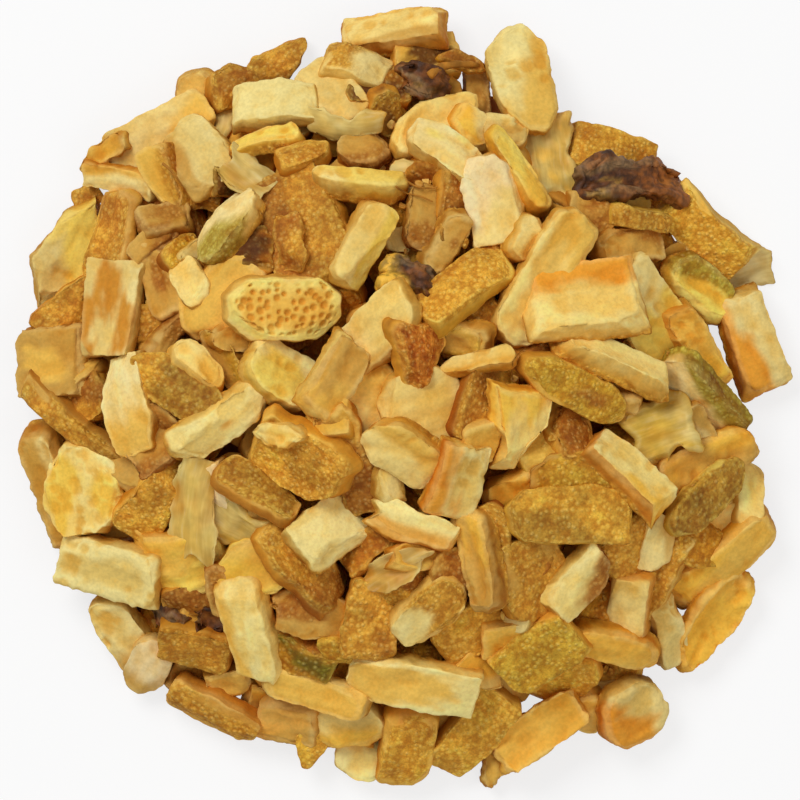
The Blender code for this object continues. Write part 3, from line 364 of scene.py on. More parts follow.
# Form of a chip, in millimetres where nothing else is said
SPACING = {"upper": 0.295, "lower": 0.34, "fill": 0.9, "loose": 0.24}   # from point to point
FINER = {"pitted": 0.55}        # share of that spacing, where pits need more points
LOOP_SPACING = 0.1              # from point to point along an outline, before it is resampled
TOP_EDGES = (0.08, 0.24)        # radius of the upper edge
EDGES = {"skin": 0.15, "char": 0.35}
LARGEST_EDGE = (0.45, 0.3)      # that radius at most, as a share of thickness and of width
FOOT_EDGE, FOOT_SHARE = 0.40, 0.4   # bevel round the underside, and its largest share of thickness
CORNER_SOFTNESS = (0.12, 0.30)  # how far the corners of an outline are rounded
ROUNDER, ROUND_CORNERS = 2.2, 8     # how much further on outlines with eight corners
USUAL_WOBBLE = 0.45             # how uneven the outline is
WOBBLES = {"skin": 1.4, "char": 1.3, "brown": 0.8, "rust": 0.5, "rind": 0.7, "white": 0.6}
FLARE = (-0.12, 0.05)           # how much wider than its middle a chip is on top, as a share
TOP_SLOPE = 0.25                # largest slope of the top, in half thicknesses
FACETS = (3, 7)                 # facets sliced off the upper edges: fewest, and one over the most
FACET_TILTS = ((30.0, 50.0), (60.0, 84.0))      # degrees by which a facet looks up, steep or shallow
FACET_DEPTHS = (0.06, 0.34)     # in thicknesses
FACET_ROUNDING = 0.04
SCOOPS = (0, 3)                 # hollows in the top: fewest, and one over the most
SCOOP_RADII, SCOOP_DEPTHS = (2.5, 7.0), (0.3, 0.9)
SCOOP_PLACES = 0.9              # furthest from the middle, in half lengths and half widths

# How much chips curl: along, across, twist
USUAL_BEND = np.array((0.50, 0.25, 0.35))
BENDS = {
    "skin": np.array((1.3, 0.9, 1.1)), "char": np.array((1.0, 0.6, 0.9)),
    "rind": np.array((0.6, 0.35, 0.3)), "curled": np.array((0.8, 1.9, 0.5)),
}
BEND_SHARES = (0.2, 1.0)        # how much of that a chip takes
SIDEWAYS_BEND = 0.5             # at most
STRAIGHT = 0.3                  # square of the share of its half at which a bent chip isn't moved
FULL_BEND = 5.0                 # half length from which a chip bends in full

# Relief of the surface
USUAL_FORM = 0.55               # strength of the relief
FORMS = {"char": 2.0, "skin": 1.0, "brown": 1.2, "umber": 1.4, "rust": 0.8, "rind": 0.75, "tan": 0.9,
         "curled": 1.1}
FULL_RELIEF, THINNEST_RELIEF = 2.2, 1.4     # thickness with full relief, and the least that counts
# Painted shade darkens the dents, and a painted highlight lightens what stands out
DEEP_DENT = 0.30                # relief at which a dent has its full colour
RAISED_HIGHLIGHT_SHARE = 0.35             # how much less what stands out is lightened than dents are darkened

# Pits of the rind and small holes in the pith: strength and distance apart
USUAL_PITS = (0.35, 0.95)
PITS = {"pitted": (1.0, 1.2), "orange": (0.2, 0.9), "dusk": (0.6, 0.8), "rust": (0.9, 1.3),
        "umber": (0.4, 0.8)}
PIT_RADIUS, PIT_RADIUS_MORE = 0.22, 0.26
USUAL_PIT_DEPTH = 0.14          # millimetres
PIT_DEPTHS = {"pitted": 0.38}
HOLED_SHARE = 0.40              # share of the pith chips that have small holes
HOLE_SPACING, HOLE_DEPTH = 1.7, 0.15
PITTED_RIND = 0.12              # how much of the rind's pebbling the pitted chip shows

# Textures in a chip's own space: how much finer along, across and through it; size of the lumps in
# millimetres; layers of ever finer noise; a number that sets each texture apart
EVEN = (1.0, 1.0, 1.0)
TEXTURES = {
    "swells": (EVEN, 3.6, 2, 5), "ripples": (EVEN, 0.8, 1, 9), "rind lumps": (EVEN, 1.8, 2, 11),
    "cuts": ((0.40, 1.0, 0.8), 2.6, 2, 13), "cut grain": ((0.2, 1.0, 0.8), 0.8, 1, 19),
    "sunken": (EVEN, 2.8, 2, 45), "crumb": (EVEN, 0.75, 2, 47),
    "folds": ((0.6, 1.0, 1.0), 2.4, 2, 15), "fold grain": ((0.2, 1.0, 1.0), 0.8, 1, 17),
    "crust": (EVEN, 3.4, 2, 5), "crust ridges": ((0.4, 1.2, 1.0), 1.6, 2, 27),
    "crust grain": (EVEN, 0.6, 1, 29),
    "drift": (EVEN, 2.2, 1, 21), "mottling": (EVEN, 2.4, 2, 35),
    "patches": ((0.5, 1.1, 1.0), 3.4, 4, 31), "toast": (EVEN, 2.8, 3, 33),
    "streaks": ((0.25, 1.0, 1.0), 1.1, 2, 43), "golden": ((0.5, 1.1, 1.0), 3.0, 3, 45),
    "layers": ((0.35, 0.35, 1.7), 1.0, 2, 41), "holed": (EVEN, 3.0, 2, 71),
    "pitted middle": (EVEN, 2.8, 2, 33), "fibres": ((0.4, 1.2, 1.0), 1.6, 2, 61),
    "burning": ((0.4, 1.5, 1.0), 1.5, 3, 65), "ash": ((0.25, 1.3, 1.0), 1.2, 3, 67),
    "embers": (EVEN, 1.9, 3, 63), "unburnt": ((0.5, 1.0, 1.0), 1.3, 3, 67),
}

# Tints, as shares of a colour's red, green and blue
# Painted shade: how much darker every side of a chip is than its top
SIDE_SHADE_TINT = np.array((0.88, 0.77, 0.52))
FOOT_TINT = np.array((0.72, 0.56, 0.36))
# Painted shade on the hidden chips that lie under the others
FILL_SHADE_TINT = np.array((0.94, 0.82, 0.60))
TOASTED = np.array((0.92, 0.76, 0.44))
PIT_TINT = np.array((0.70, 0.48, 0.26))
GOLDEN_PIT_TINT = np.array((0.80, 0.64, 0.40))
PITTED_MIDDLE_TINT = np.array((1.0, 0.92, 0.8))
GOLDEN_TINT = np.array((0.97, 0.84, 0.50))
# Painted shade in dents, and painted highlight on what stands out
DENT_SHADE_TINT = np.array((0.93, 0.83, 0.62))
HOLE_TINT = np.array((0.90, 0.74, 0.48))

# How strong the parts of a chip's colour are
PITH_MOTTLING, RIND_MOTTLING, STAIN_MOTTLING, SIDE_MOTTLING, LAYERING = 0.18, 0.7, 0.5, 0.2, 0.4
STREAKING = 0.22
CALM = {"plain": 0.25, "light": 0.5}    # how much less toasted and golden such pith is
TOAST_SHARES = (0.2, 0.9)
GOLDEN_SHARES = (0.0, 0.75)
ASKEW = 0.9                     # how far the golden part may lie to one side
BLOTCH_STRENGTH = 0.80          # of stains in seeded blotches
STAIN_STRENGTH = 0.95           # of stains at a named place
# Pale rim: partly the dried edge's own paleness and partly a painted highlight
RIM_PALENESS_AND_HIGHLIGHT = 0.35
BRIGHTNESS = (0.93, 1.07)       # of each chip

# Small bits in the dips between the chips
CRUMB_COUNT = 36
CRUMB_SIZES = ((0.7, 1.6), (0.5, 1.2), (0.5, 0.9))      # lengths, widths, thicknesses
CRUMB_LOOKS = ("tan", "brown", "amber", "rind", "brown", "gold")
CRUMB_SHAPES = ("slant", "leaf", "blade", "block")
CRUMB_ROLL = 25.0           # degrees
CRUMB_GROUND = 60           # percentile of the ground's height that a crumb lies on
CRUMB_LIFT = 0.10           # how far a crumb stands out of what it lies on, in thicknesses
LOWEST_CRUMB = 1.5
DIP = 1.4                   # how far a dip lies below the heap round it
CLEAR_REACH = 3             # cells, each way, that must be clear of the topmost chips
DIP_REACH = 11              # cells, each way, that count as round a dip

# Strands: x and y along each, how far over the heap, radius at the start and at the end
STRANDS = (
    (((2.6, 37.4), (4.6, 38.9), (7.0, 39.3), (9.4, 39.0)), 0.5, 0.62, 0.28),
    (((12.9, 1.6), (12.5, 3.2), (13.1, 4.8), (14.2, 5.8)), 0.4, 0.10, 0.06),
    (((-0.6, 26.0), (0.8, 24.8), (2.6, 24.2), (4.4, 24.6)), 0.4, 0.16, 0.10),
    (((-1.2, 24.8), (0.4, 23.6), (2.0, 23.5), (3.8, 22.6)), 0.3, 0.14, 0.08),
    (((-28.6, 27.6), (-27.0, 26.4), (-25.8, 24.4)), 0.5, 0.22, 0.10),
)
STRAND_SIDES = 7
STRAND_STEP = 0.3
SMOOTHING = np.array((1.0, 2.0, 3.0, 2.0, 1.0)) / 9.0
SMOOTHED = 4                # times that a strand is smoothed
STRAND_FALL = 0.3           # how far it may sink each time
TIPS = (0.5, 0.3)           # share of its radius that a strand keeps at its first and last point

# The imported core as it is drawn, a little smaller than in the solid
CORE_SHOWN_RADIUS = 37.0
CORE_SHOWN_HEIGHT = 0.97
CORE_SPACING = 0.8
FLOOR_CLEARANCE = 0.02

# Hidden chips that nobody sees are left out
LEAST_SHOWN = 0.4           # square millimetres, from above
SIDE_RADIUS = 34.0          # beyond this, chips show from the side

# Camera: straight above, with a long lens
CAMERA_HEIGHT = 1500.0
SHARP_HEIGHT = 9.0          # height over the floor at which the frame has its width
FRAME_WIDTH = 94.0
CAMERA_X = -0.52
CAMERA_Y = -0.56
SENSOR_WIDTH = 36.0

# Light and floor, in metres
WHITE = (1.0, 1.0, 1.0, 1.0)
LAMPS = {                   # place, size, power
    "key": ((-0.45, 0.55, 0.85), 0.55, 6.7),
    "fill": ((0.6, -0.5, 0.7), 0.8, 2.0),
}
AMBIENT = 0.345
FLOOR_REACH = 3.0
FLOOR_COLOUR = (0.80, 0.79, 0.77, 1.0)
FLOOR_LIT = (0.25, 0.25, 0.25, 1.0)
FLOOR_GLOW = 0.75

Chip = namedtuple("Chip", "place axes corners thickness look layer")

AXIS = (np.arange(round(2 * HALF_MAP / CELL)) + 0.5) * CELL - HALF_MAP
MAP_X, MAP_Y = np.meshgrid(AXIS, AXIS)


def dome(x, y):
    """Height of the settled heap over a point."""
    r = np.clip(np.hypot(x, y) / DOME_RADIUS, 0.0, 1.0)
    return DOME_HEIGHT * (1.0 - r ** DOME_POWER) ** DOME_SHOULDER


def core_height(x, y):
    """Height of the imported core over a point."""
    r = np.clip(np.hypot(x, y) / CORE_RADIUS, 0.0, 1.0)
    return CORE_HEIGHT * (1.0 - r ** CORE_POWER) ** CORE_SHOULDER


def make_outline(length, width, shape, rng):
    """Corners of a chip's outline, uneven, and exactly as long and wide as named."""
    corners = np.array(OUTLINES[shape], float)
    jitter = NEAT.get(shape, UNEVEN)
    corners += rng.uniform(-jitter, jitter, corners.shape)
    if shape in CUT_CORNERS:
        cut_corners = []
        for i, corner in enumerate(corners):
            before, after = corners[i - 1], corners[(i + 1) % len(corners)]
            cut = rng.choice(CUT_SIZES, p=CUT_ODDS)
            if cut:
                cut_corners.append(corner + (before - corner) * cut * CUT_LENGTHWAYS)
                cut_corners.append(corner + (after - corner) * cut)
            else:
                cut_corners.append(corner)
        corners = np.array(cut_corners)
    low, high = corners.min(0), corners.max(0)
    corners = (corners - (low + high) / 2) / ((high - low) / 2)
    return corners * (length / 2, width / 2)


def inside(corners, u, v):
    """Which points lie inside an outline, and how far each is from its edge."""
    within = np.zeros(u.shape, bool)
    distance = np.full(u.shape, np.inf)
    for (u0, v0), (u1, v1) in zip(np.roll(corners, 1, 0), corners):
        along = (v - v0) / (v1 - v0 + 1e-12)
        within ^= ((v0 > v) != (v1 > v)) & (u < u0 + along * (u1 - u0))
        eu, ev = u1 - u0, v1 - v0
        share = np.clip(((u - u0) * eu + (v - v0) * ev) / (eu * eu + ev * ev), 0.0, 1.0)
        distance = np.minimum(distance, np.hypot(u - u0 - share * eu, v - v0 - share * ev))
    return within, distance


def lean(x, y, height):
    """Slope of the ground under a chip, held to the steepest lean."""
    terms = np.stack((x, y, np.ones_like(x)), -1)
    slope = np.linalg.solve(terms.T @ terms, terms.T @ height)[:2]
    steepness = np.hypot(*slope)
    return slope * min(1.0, STEEPEST / max(steepness, 1e-9))


def top_look(look):
    """The first word of a chip's look: what shows on top."""
    return look.split("/")[0].split("+")[0]


def chip_axes(turn, slope, roll):
    """Rows are the chip's long, cross and up axes."""
    up = np.array((-slope[0], -slope[1], 1.0))
    up /= np.linalg.norm(up)
    long = np.array((np.cos(turn), np.sin(turn), 0.0))
    long -= up * (long @ up)
    long /= np.linalg.norm(long)
    cross = np.cross(up, long)
    return np.array((
        long,
        cross * np.cos(roll) + up * np.sin(roll),
        up * np.cos(roll) - cross * np.sin(roll),
    ))


class Heap:
    """Chips as they lie, with a map of the height reached and of the chip that shows there."""

    def __init__(self):
        self.height = np.round(core_height(MAP_X, MAP_Y), 6)
        self.owner = np.full(self.height.shape, -1)
        self.chips = []

    def drop(self, row, layer, seed, grow=1.0):
        """Let one chip down onto the heap."""
        x, y, length, width, turn, roll, shape, look = row
        level, settle = LEVELS[layer]
        rng = np.random.default_rng(seed)
        turn, roll = np.radians(turn), np.radians(roll)
        thickness = THICKNESS[top_look(look)]
        thickness = min(thickness, SLIM * width + SLIM_LEAST) * rng.uniform(*THICKER)
        face = (width - thickness * abs(np.sin(roll))) / np.cos(roll)
        corners = make_outline(length * grow, max(face, LEAST_FACE * width) * grow, shape, rng)

        reach = 0.5 * np.hypot(length, width) * grow + 1.0
        rows = slice(*np.searchsorted(AXIS, (y - reach, y + reach)))
        columns = slice(*np.searchsorted(AXIS, (x - reach, x + reach)))
        px, py = MAP_X[rows, columns] - x, MAP_Y[rows, columns] - y
        ground = self.height[rows, columns]
        u = px * np.cos(turn) + py * np.sin(turn)
        v = py * np.cos(turn) - px * np.sin(turn)
        under, _ = inside(corners, u, v)
        axes = chip_axes(turn, lean(px[under], py[under], ground[under]), roll)

        up = axes[2]
        middle = -(up[0] * px + up[1] * py) / up[2]
        points = np.stack((px, py, middle), -1)
        under, edge = inside(corners, points @ axes[0], points @ axes[1])
        half = 0.5 * thickness / up[2]
        rest = np.percentile((ground - middle + half)[under], settle) - SINK
        goal = dome(x, y) + level
        if rest > goal:
            rest = goal + SETTLED * (rest - goal)
        rest = max(rest, (half - middle)[under].max())

        rounding = 1.0 - np.clip(edge / (ROUNDED_EDGE * thickness), 0.0, 1.0)
        top = rest + middle + half - half * ROUNDED_DROP * (1.0 - np.sqrt(1.0 - rounding ** 2))
        higher = under & (top > ground)
        self.height[rows, columns][higher] = np.round(top[higher], 6)
        self.owner[rows, columns][higher] = len(self.chips)
        self.chips.append(Chip(np.array((x, y, rest)), axes, corners, thickness, look, layer))

    def showing(self):
        """Area of each chip that can be seen from above."""
        seen = self.owner[self.owner >= 0]
        return np.bincount(seen, minlength=len(self.chips)) * CELL ** 2


def fill_rows():
    """Chips of the hidden layer, spread evenly from the foot inwards."""
    rng = np.random.default_rng(FILL_SEED)
    golden_turn = np.pi * (3.0 - np.sqrt(5.0))
    for i in reversed(range(FILL_COUNT)):
        off_side = (np.degrees(golden_turn * i) - FLAT_SIDE[0] + 180.0) % 360.0 - 180.0
        foot = FILL_RADIUS - FLAT_SIDE[2] * np.exp(-(off_side / FLAT_SIDE[1]) ** 2)
        r = foot * np.sqrt((i + 0.5) / FILL_COUNT)
        x = r * np.cos(golden_turn * i) + rng.uniform(-1.0, 1.0)
        y = r * np.sin(golden_turn * i) + rng.uniform(-1.0, 1.0)
        length, width = rng.uniform(*FILL_LENGTH), rng.uniform(*FILL_WIDTH)
        turn = rng.uniform(0.0, 360.0)
        yield x, y, length, width, turn, 0.0, rng.choice(FILL_SHAPES), rng.choice(FILL_LOOKS)


def lay_heap():
    """Drop every chip: the hidden layer, then the lower and the upper ones."""
    heap = Heap()
    for i, row in enumerate(fill_rows()):
        if all(np.hypot(row[0] - x, row[1] - y) > radius for x, y, radius in GAPS):
            heap.drop(row, "fill", SEEDS["fill"] + i)
    for i, row in enumerate(LOWER_CHIPS):
        heap.drop(row, "lower", SEEDS["lower"] + i, UNDERLAP)
    for i, row in enumerate(UPPER_CHIPS):
        heap.drop(row, "upper", SEEDS["upper"] + i)
    return heap


# ---- numbers that look random but are the same each run ----

def scatter(ix, iy, iz, salt):
    """Even numbers between 0 and 1, one for each cell of a grid."""
    mixed = ix * 374761393 + iy * 668265263 + iz * 2147483647 + salt * 144665
    mixed = (mixed ^ (mixed >> 13)) * 1274126177
    mixed = (mixed ^ (mixed >> 15)) * 1103515245
    return ((mixed ^ (mixed >> 16)) & 0xFFFFFF) / 0xFFFFFF


def noise(points, size, salt):
    """Smooth noise from 0 to 1 with lumps of a given size."""
    scaled = points / size
    cell = np.floor(scaled).astype(np.int64)
    share = scaled - cell
    share = share * share * (3.0 - 2.0 * share)
    total = np.zeros(len(points))
    for corner in range(8):
        step = np.array((corner & 1, corner >> 1 & 1, corner >> 2 & 1))
        weight = np.prod(np.where(step, share, 1.0 - share), axis=1)
        total += weight * scatter(*(cell + step).T, salt)
    return total


def layered(points, size, layers, salt):
    """Noise with finer and fainter noise on it, from 0 to 1."""
    total, weight = 0.0, 0.0
    for i in range(layers):
        total = total + noise(points, size * 0.5 ** i, salt + i) * 0.5 ** i
        weight += 0.5 ** i
    return total / weight


def texture(space, name):
    """One of the named textures, from 0 to 1, at each point of a chip's own space."""
    finer, size, layers, salt = TEXTURES[name]
    return layered(space * finer, size, layers, salt)


def swing(space, name):
    """One of the named textures, from -0.5 to 0.5."""
    return texture(space, name) - 0.5


def ease(low, high, value):
    """Smooth step from 0 at low to 1 at high."""
    share = np.clip((value - low) / (high - low), 0.0, 1.0)
    return share * share * (3.0 - 2.0 * share)


def terraced(values, steps):
    """Smooth numbers from 0 to 1 as steps with crisp edges between them."""
    scaled = values * steps
    return (np.floor(scaled) + ease(0.30, 0.62, scaled % 1.0)) / steps


def nearest_point(u, v, size, salt):
    """Distance to the nearest of many scattered points, in cells, and a number for that point."""
    su, sv = u / size, v / size
    cu, cv = np.floor(su).astype(np.int64), np.floor(sv).astype(np.int64)
    nearest = np.full(u.shape, 9.0)
    which = np.zeros(u.shape)
    for du in (-1, 0, 1):
        for dv in (-1, 0, 1):
            cell = cu + du, cv + dv, 0 * cu
            ju = cell[0] + 0.15 + 0.7 * scatter(*cell, salt)
            jv = cell[1] + 0.15 + 0.7 * scatter(*cell, salt + 1)
            distance = np.hypot(su - ju, sv - jv)
            closer = distance < nearest
            nearest = np.where(closer, distance, nearest)
            which = np.where(closer, scatter(*cell, salt + 2), which)
    return nearest, which


def gland_pits(space, size):
    """How deep each point lies in a pit of the rind, from 0 to 1."""
    distance, which = nearest_point(space[:, 0], space[:, 1], size, 23)
    radius = (PIT_RADIUS + PIT_RADIUS_MORE * which) * max(1.0, size)
    return (1.0 - ease(0.55 * radius, radius, distance)) * ease(0.04, 0.15, which)


# ---- outlines and slabs ----

Slab = namedtuple("Slab", "points quads triangles from_rim")
# A finished mesh: flat holds the points of the patterns, tone the colours, rind the share of pebbling
Shape = namedtuple("Shape", "points quads triangles flat tone rind")


def outward_of(loop):
    """Direction out of a closed run of points, at each point."""
    tangent = np.roll(loop, -1, 0) - np.roll(loop, 1, 0)
    tangent /= np.linalg.norm(tangent, axis=1, keepdims=True) + 1e-9
    return np.column_stack((tangent[:, 1], -tangent[:, 0]))


def rounded_loop(corners, softness, wobble, salt):
    """A closed run of points round an outline, with its corners rounded and its edge uneven."""
    runs = []
    for start, end in zip(corners, np.roll(corners, -1, 0)):
        count = max(2, int(np.hypot(*(end - start)) / LOOP_SPACING))
        runs.append(start + (end - start) * np.linspace(0.0, 1.0, count, endpoint=False)[:, None])
    loop = np.concatenate(runs)
    reach = int(3 * softness / LOOP_SPACING)
    offsets = np.arange(-reach, reach + 1)
    weights = np.exp(-0.5 * (offsets * LOOP_SPACING / softness) ** 2)
    soft = sum(w * np.roll(loop, k, 0) for k, w in zip(offsets, weights)) / weights.sum()
    flat = np.column_stack((soft, np.zeros(len(soft))))
    coarse, fine = layered(flat + 31.7, 2.2, 2, salt) - 0.5, layered(flat, 0.8, 2, salt + 5) - 0.5
    return soft + outward_of(soft) * ((coarse + 0.35 * fine) * wobble)[:, None]


def distances(run):
    """How far along a run each of its points lies."""
    return np.concatenate(((0.0,), np.cumsum(np.hypot(*np.diff(run, axis=0).T))))


def resample(run, count, to_end=False):
    """Evenly spaced points along a run, its first included and its last left out if not to_end."""
    along = distances(run)
    wanted = np.linspace(0.0, along[-1], count, endpoint=to_end)
    return np.column_stack([np.interp(wanted, along, run[:, k]) for k in (0, 1)])


def four_sides(loop, length, width, across, along):
    """The loop as four runs that meet at its corners: right, far, left and near side."""
    turn = np.arctan2(loop[:, 1] / width, loop[:, 0] / length)
    corners = np.radians((-45, 45, 135, 225))
    start = [np.abs(np.angle(np.exp(1j * (turn - corner)))).argmin() for corner in corners]
    start.append(start[0])
    sides = []
    for k, count in enumerate((across, along, across, along)):
        first, last = start[k], start[k + 1]
        if last > first:
            run = loop[first:last + 1]
        else:
            run = np.concatenate((loop[first:], loop[:last + 1]))
        sides.append(resample(run, count))
    return sides


def face_grid(ring, across, along):
    """Points that fill a ring of 2 * (across + along) points, which starts at its near right corner."""
    right, far = ring[:across + 1], ring[across:across + along + 1][::-1]
    left = ring[across + along:2 * across + along + 1][::-1]
    near = np.concatenate((ring[2 * across + along:], ring[:1]))
    s = np.linspace(0.0, 1.0, along + 1)[:, None, None]
    t = np.linspace(0.0, 1.0, across + 1)[None, :, None]
    sides = (1 - t) * near[:, None] + t * far[:, None] + (1 - s) * left[None] + s * right[None]
    corners = ((1 - s) * (1 - t) * near[0] + s * (1 - t) * near[-1] + (1 - s) * t * far[0]
               + s * t * far[-1])
    return sides - corners


def grid_quads(index):
    """Faces between the points of a grid, from the grid of their numbers."""
    return np.stack((index[:-1, :-1], index[1:, :-1], index[1:, 1:], index[:-1, 1:]), -1).reshape(-1, 4)


def grid_rim(index):
    """Numbers of the points round a grid, from its near right corner."""
    return np.concatenate((index[-1, :-1], index[:0:-1, -1], index[0, :0:-1], index[:-1, 0]))


def band(above, below):
    """Faces between two rings of points."""
    return np.stack((above, below, np.roll(below, -1), np.roll(above, -1)), -1)


def edge_profile(thickness, width, spacing, edge):
    """Inset and height of each ring round a slab, from the rim of its top down to its underside."""
    half = thickness / 2
    edge = min(edge, LARGEST_EDGE[0] * thickness, LARGEST_EDGE[1] * width)
    foot = min(FOOT_EDGE, FOOT_SHARE * thickness)
    wall = thickness - edge - foot
    profile = []
    for angle in np.radians((0, 30, 60, 90)):
        profile.append((edge * (1 - np.sin(angle)), half - edge * (1 - np.cos(angle))))
    steps = max(1, int(round(wall / spacing)))
    for k in range(1, steps + 1):
        profile.append((0.0, half - edge - wall * k / steps))
    profile.append((foot * 0.3, -half + foot * 0.3))
    profile.append((foot, -half))
    return profile


def make_slab(corners, thickness, spacing, edge, softness, wobble, salt):
    """A closed slab: a grid for its top, rings for its rounded edges, sides and underside.

    It also says how far each point lies from the rim of the top, in millimetres.
    """
    length, width = np.ptp(corners, axis=0)
    along = max(4, int(round(length / spacing)))
    across = max(3, int(round(width / spacing)))
    loop = rounded_loop(corners, softness, wobble, salt)
    ring = np.concatenate(four_sides(loop, length, width, across, along))
    inward = -outward_of(ring)
    (rim_inset, top), *profile = edge_profile(thickness, width, spacing, edge)

    count = len(ring)
    rings = [np.column_stack((ring + inward * inset, np.full(count, z))) for inset, z in profile]
    centre, last = ring.mean(0), rings[-1][:, :2]
    for share in (0.66, 0.33):
        rings.append(np.column_stack((centre + (last - centre) * share, np.full(count, -top))))

    grid = face_grid(ring + inward * rim_inset, across, along).reshape(-1, 2)
    index = np.arange(len(grid)).reshape(along + 1, across + 1)
    points = [np.column_stack((grid, np.full(len(grid), top)))]
    quads = [grid_quads(index)]
    above, total = grid_rim(index), len(grid)
    for below_points in rings:
        below = total + np.arange(count)
        quads.append(band(above, below))
        points.append(below_points)
        above, total = below, total + count
    points.append(np.array([(*centre, -top)]))
    triangles = np.stack((np.roll(above, -1), above, np.full(count, total)), -1)

    s = 1.0 - np.abs(np.linspace(-1.0, 1.0, along + 1))[:, None]
    t = 1.0 - np.abs(np.linspace(-1.0, 1.0, across + 1))[None, :]
    from_rim = np.zeros(total + 1)
    from_rim[:index.size] = np.minimum(s * length / 2, t * width / 2).ravel()
    return Slab(np.concatenate(points), np.concatenate(quads), triangles, from_rim)


def normals_of(points, *faces):
    """Outward direction at each point, from lists of quads or triangles."""
    total = np.zeros_like(points)
    for corners in faces:
        if not len(corners):
            continue
        a, b, c, d = (points[corners[:, k]] for k in (0, 1, 2, -1))
        four = corners.shape[1] == 4
        normal = np.cross(c - a, d - b) if four else np.cross(b - a, c - a)
        for k in range(corners.shape[1]):
            for axis in range(3):
                total[:, axis] += np.bincount(corners[:, k], normal[:, axis], len(points))
    return total / (np.linalg.norm(total, axis=1, keepdims=True) + 1e-12)


# ---- form of a chip ----

def own_space(points, index):
    """A chip's points moved 40 mm or more from every other chip's, so that no two share a pattern."""
    return points + 40.0 * np.array((index % 7, index // 7 % 11, index // 77)) + 0.37 * index


def slice_facets(points, thickness, rng):
    """Slice flat facets off the upper edges, as a knife leaves them."""
    for _ in range(rng.integers(*FACETS)):
        heading = rng.uniform(0.0, 2.0 * np.pi)
        tilt = np.radians(rng.choice([rng.uniform(*tilts) for tilts in FACET_TILTS]))
        normal = np.array((np.cos(heading) * np.cos(tilt), np.sin(heading) * np.cos(tilt), np.sin(tilt)))
        level = points @ normal
        excess = level - level.max() + rng.uniform(*FACET_DEPTHS) * thickness
        push = 0.5 * (excess + np.sqrt(excess ** 2 + FACET_ROUNDING ** 2)) - 0.5 * FACET_ROUNDING
        points = points - normal * np.clip(push, 0.0, None)[:, None]
    return points


def scoop(points, half, rng):
    """Scoop shallow hollows out of the top, with crisp rims."""
    for _ in range(rng.integers(*SCOOPS)):
        radius = rng.uniform(*SCOOP_RADII)
        centre = half[:2] * rng.uniform(-SCOOP_PLACES, SCOOP_PLACES, 2)
        bottom = points[:, 2].max() - rng.uniform(*SCOOP_DEPTHS)
        away = ((points[:, :2] - centre) ** 2).sum(1)
        hollow = bottom + radius - np.sqrt(np.clip(radius ** 2 - away, 0.0, None))
        points = np.column_stack((points[:, :2], np.minimum(points[:, 2], hollow)))
    return points


def curl(points, u, v, half, look, rng):
    """Bend a chip along, across, with a twist and to the side."""
    bend = BENDS.get(look, USUAL_BEND) * rng.uniform(*BEND_SHARES, 3) * rng.choice((-1.0, 1.0), 3)
    if look == "curled":
        bend = np.abs(bend)
    full = min(1.0, half[0] / FULL_BEND)
    bend = bend * full
    points[:, 2] += bend[0] * (u * u - STRAIGHT) + bend[1] * (v * v - STRAIGHT) + bend[2] * u * v
    points[:, 1] += rng.uniform(-SIDEWAYS_BEND, SIDEWAYS_BEND) * (u * u - STRAIGHT) * full


def relief_of(look, space, from_rim, rng):
    """How far each point stands out of a smooth chip, or how deep it lies in a dent if less than 0."""
    if look == "skin":
        folds = np.abs(swing(space, "folds")) * 2.0
        return 2.0 * (0.35 - folds) + 0.12 * swing(space, "fold grain")
    if look == "char":
        ridges = np.abs(swing(space, "crust ridges")) * 2.0
        return (0.9 * swing(space, "crust") - 0.35 * (ridges - 0.25)
                + 0.3 * swing(space, "crust grain"))
    relief = 0.40 * swing(space, "swells") + 0.24 * swing(space, "ripples")
    if look in RINDS:
        return relief + 0.50 * swing(space, "rind lumps")
    relief += 0.80 * (terraced(texture(space, "cuts"), 4) - 0.5)
    relief += 0.24 * swing(space, "cut grain")
    sunken = ease(0.3, 2.4, from_rim + 2.4 * swing(space, "sunken"))
    relief -= max(0.0, rng.uniform(-0.9, 0.7)) * (sunken - 0.5) * ease(0.0, 0.5, from_rim)
    return relief + 0.38 * swing(space, "crumb") * (1.4 - ease(0.0, 1.2, from_rim))


def shape_chip(chip, slab, space, index):
    """Slice, scoop, curl and roughen a slab: its points, outward directions and relief."""
    look = top_look(chip.look)
    rng = np.random.default_rng(SEEDS["shape"] + index)
    half = np.ptp(slab.points, axis=0) / 2
    u, v, w = (slab.points / half).T
    shaped = slab.points.copy()
    shaped[:, :2] *= (1.0 + rng.uniform(*FLARE) * w)[:, None]
    if look != "skin":
        slope = rng.uniform(-TOP_SLOPE, TOP_SLOPE, 2)
        shaped[:, 2] += half[2] * (slope[0] * u + slope[1] * v) * ease(-0.6, 0.8, w)
        shaped = slice_facets(shaped, chip.thickness, rng)
        if look in PITHS and chip.layer != "loose":
            shaped = scoop(shaped, half, rng)
    curl(shaped, u, v, half, look, rng)

    outward = normals_of(shaped, slab.quads, slab.triangles)
    relief = relief_of(look, space, slab.from_rim, rng)
    if look == "skin":
        outward = np.column_stack((0 * w, 0 * w, 1 + 0 * w))
    thin = min(1.0, max(chip.thickness, THINNEST_RELIEF) / FULL_RELIEF)
    shaped += outward * (relief * FORMS.get(look, USUAL_FORM))[:, None] * thin
    return shaped, outward, relief


# ---- colour of a chip ----

def linear(red, green, blue):
    """Screen colour, 0 to 255, as the linear colour that shaders use."""
    c = np.array((red, green, blue)) / 255.0
    return np.where(c <= 0.04045, c / 12.92, ((c + 0.055) / 1.055) ** 2.4)


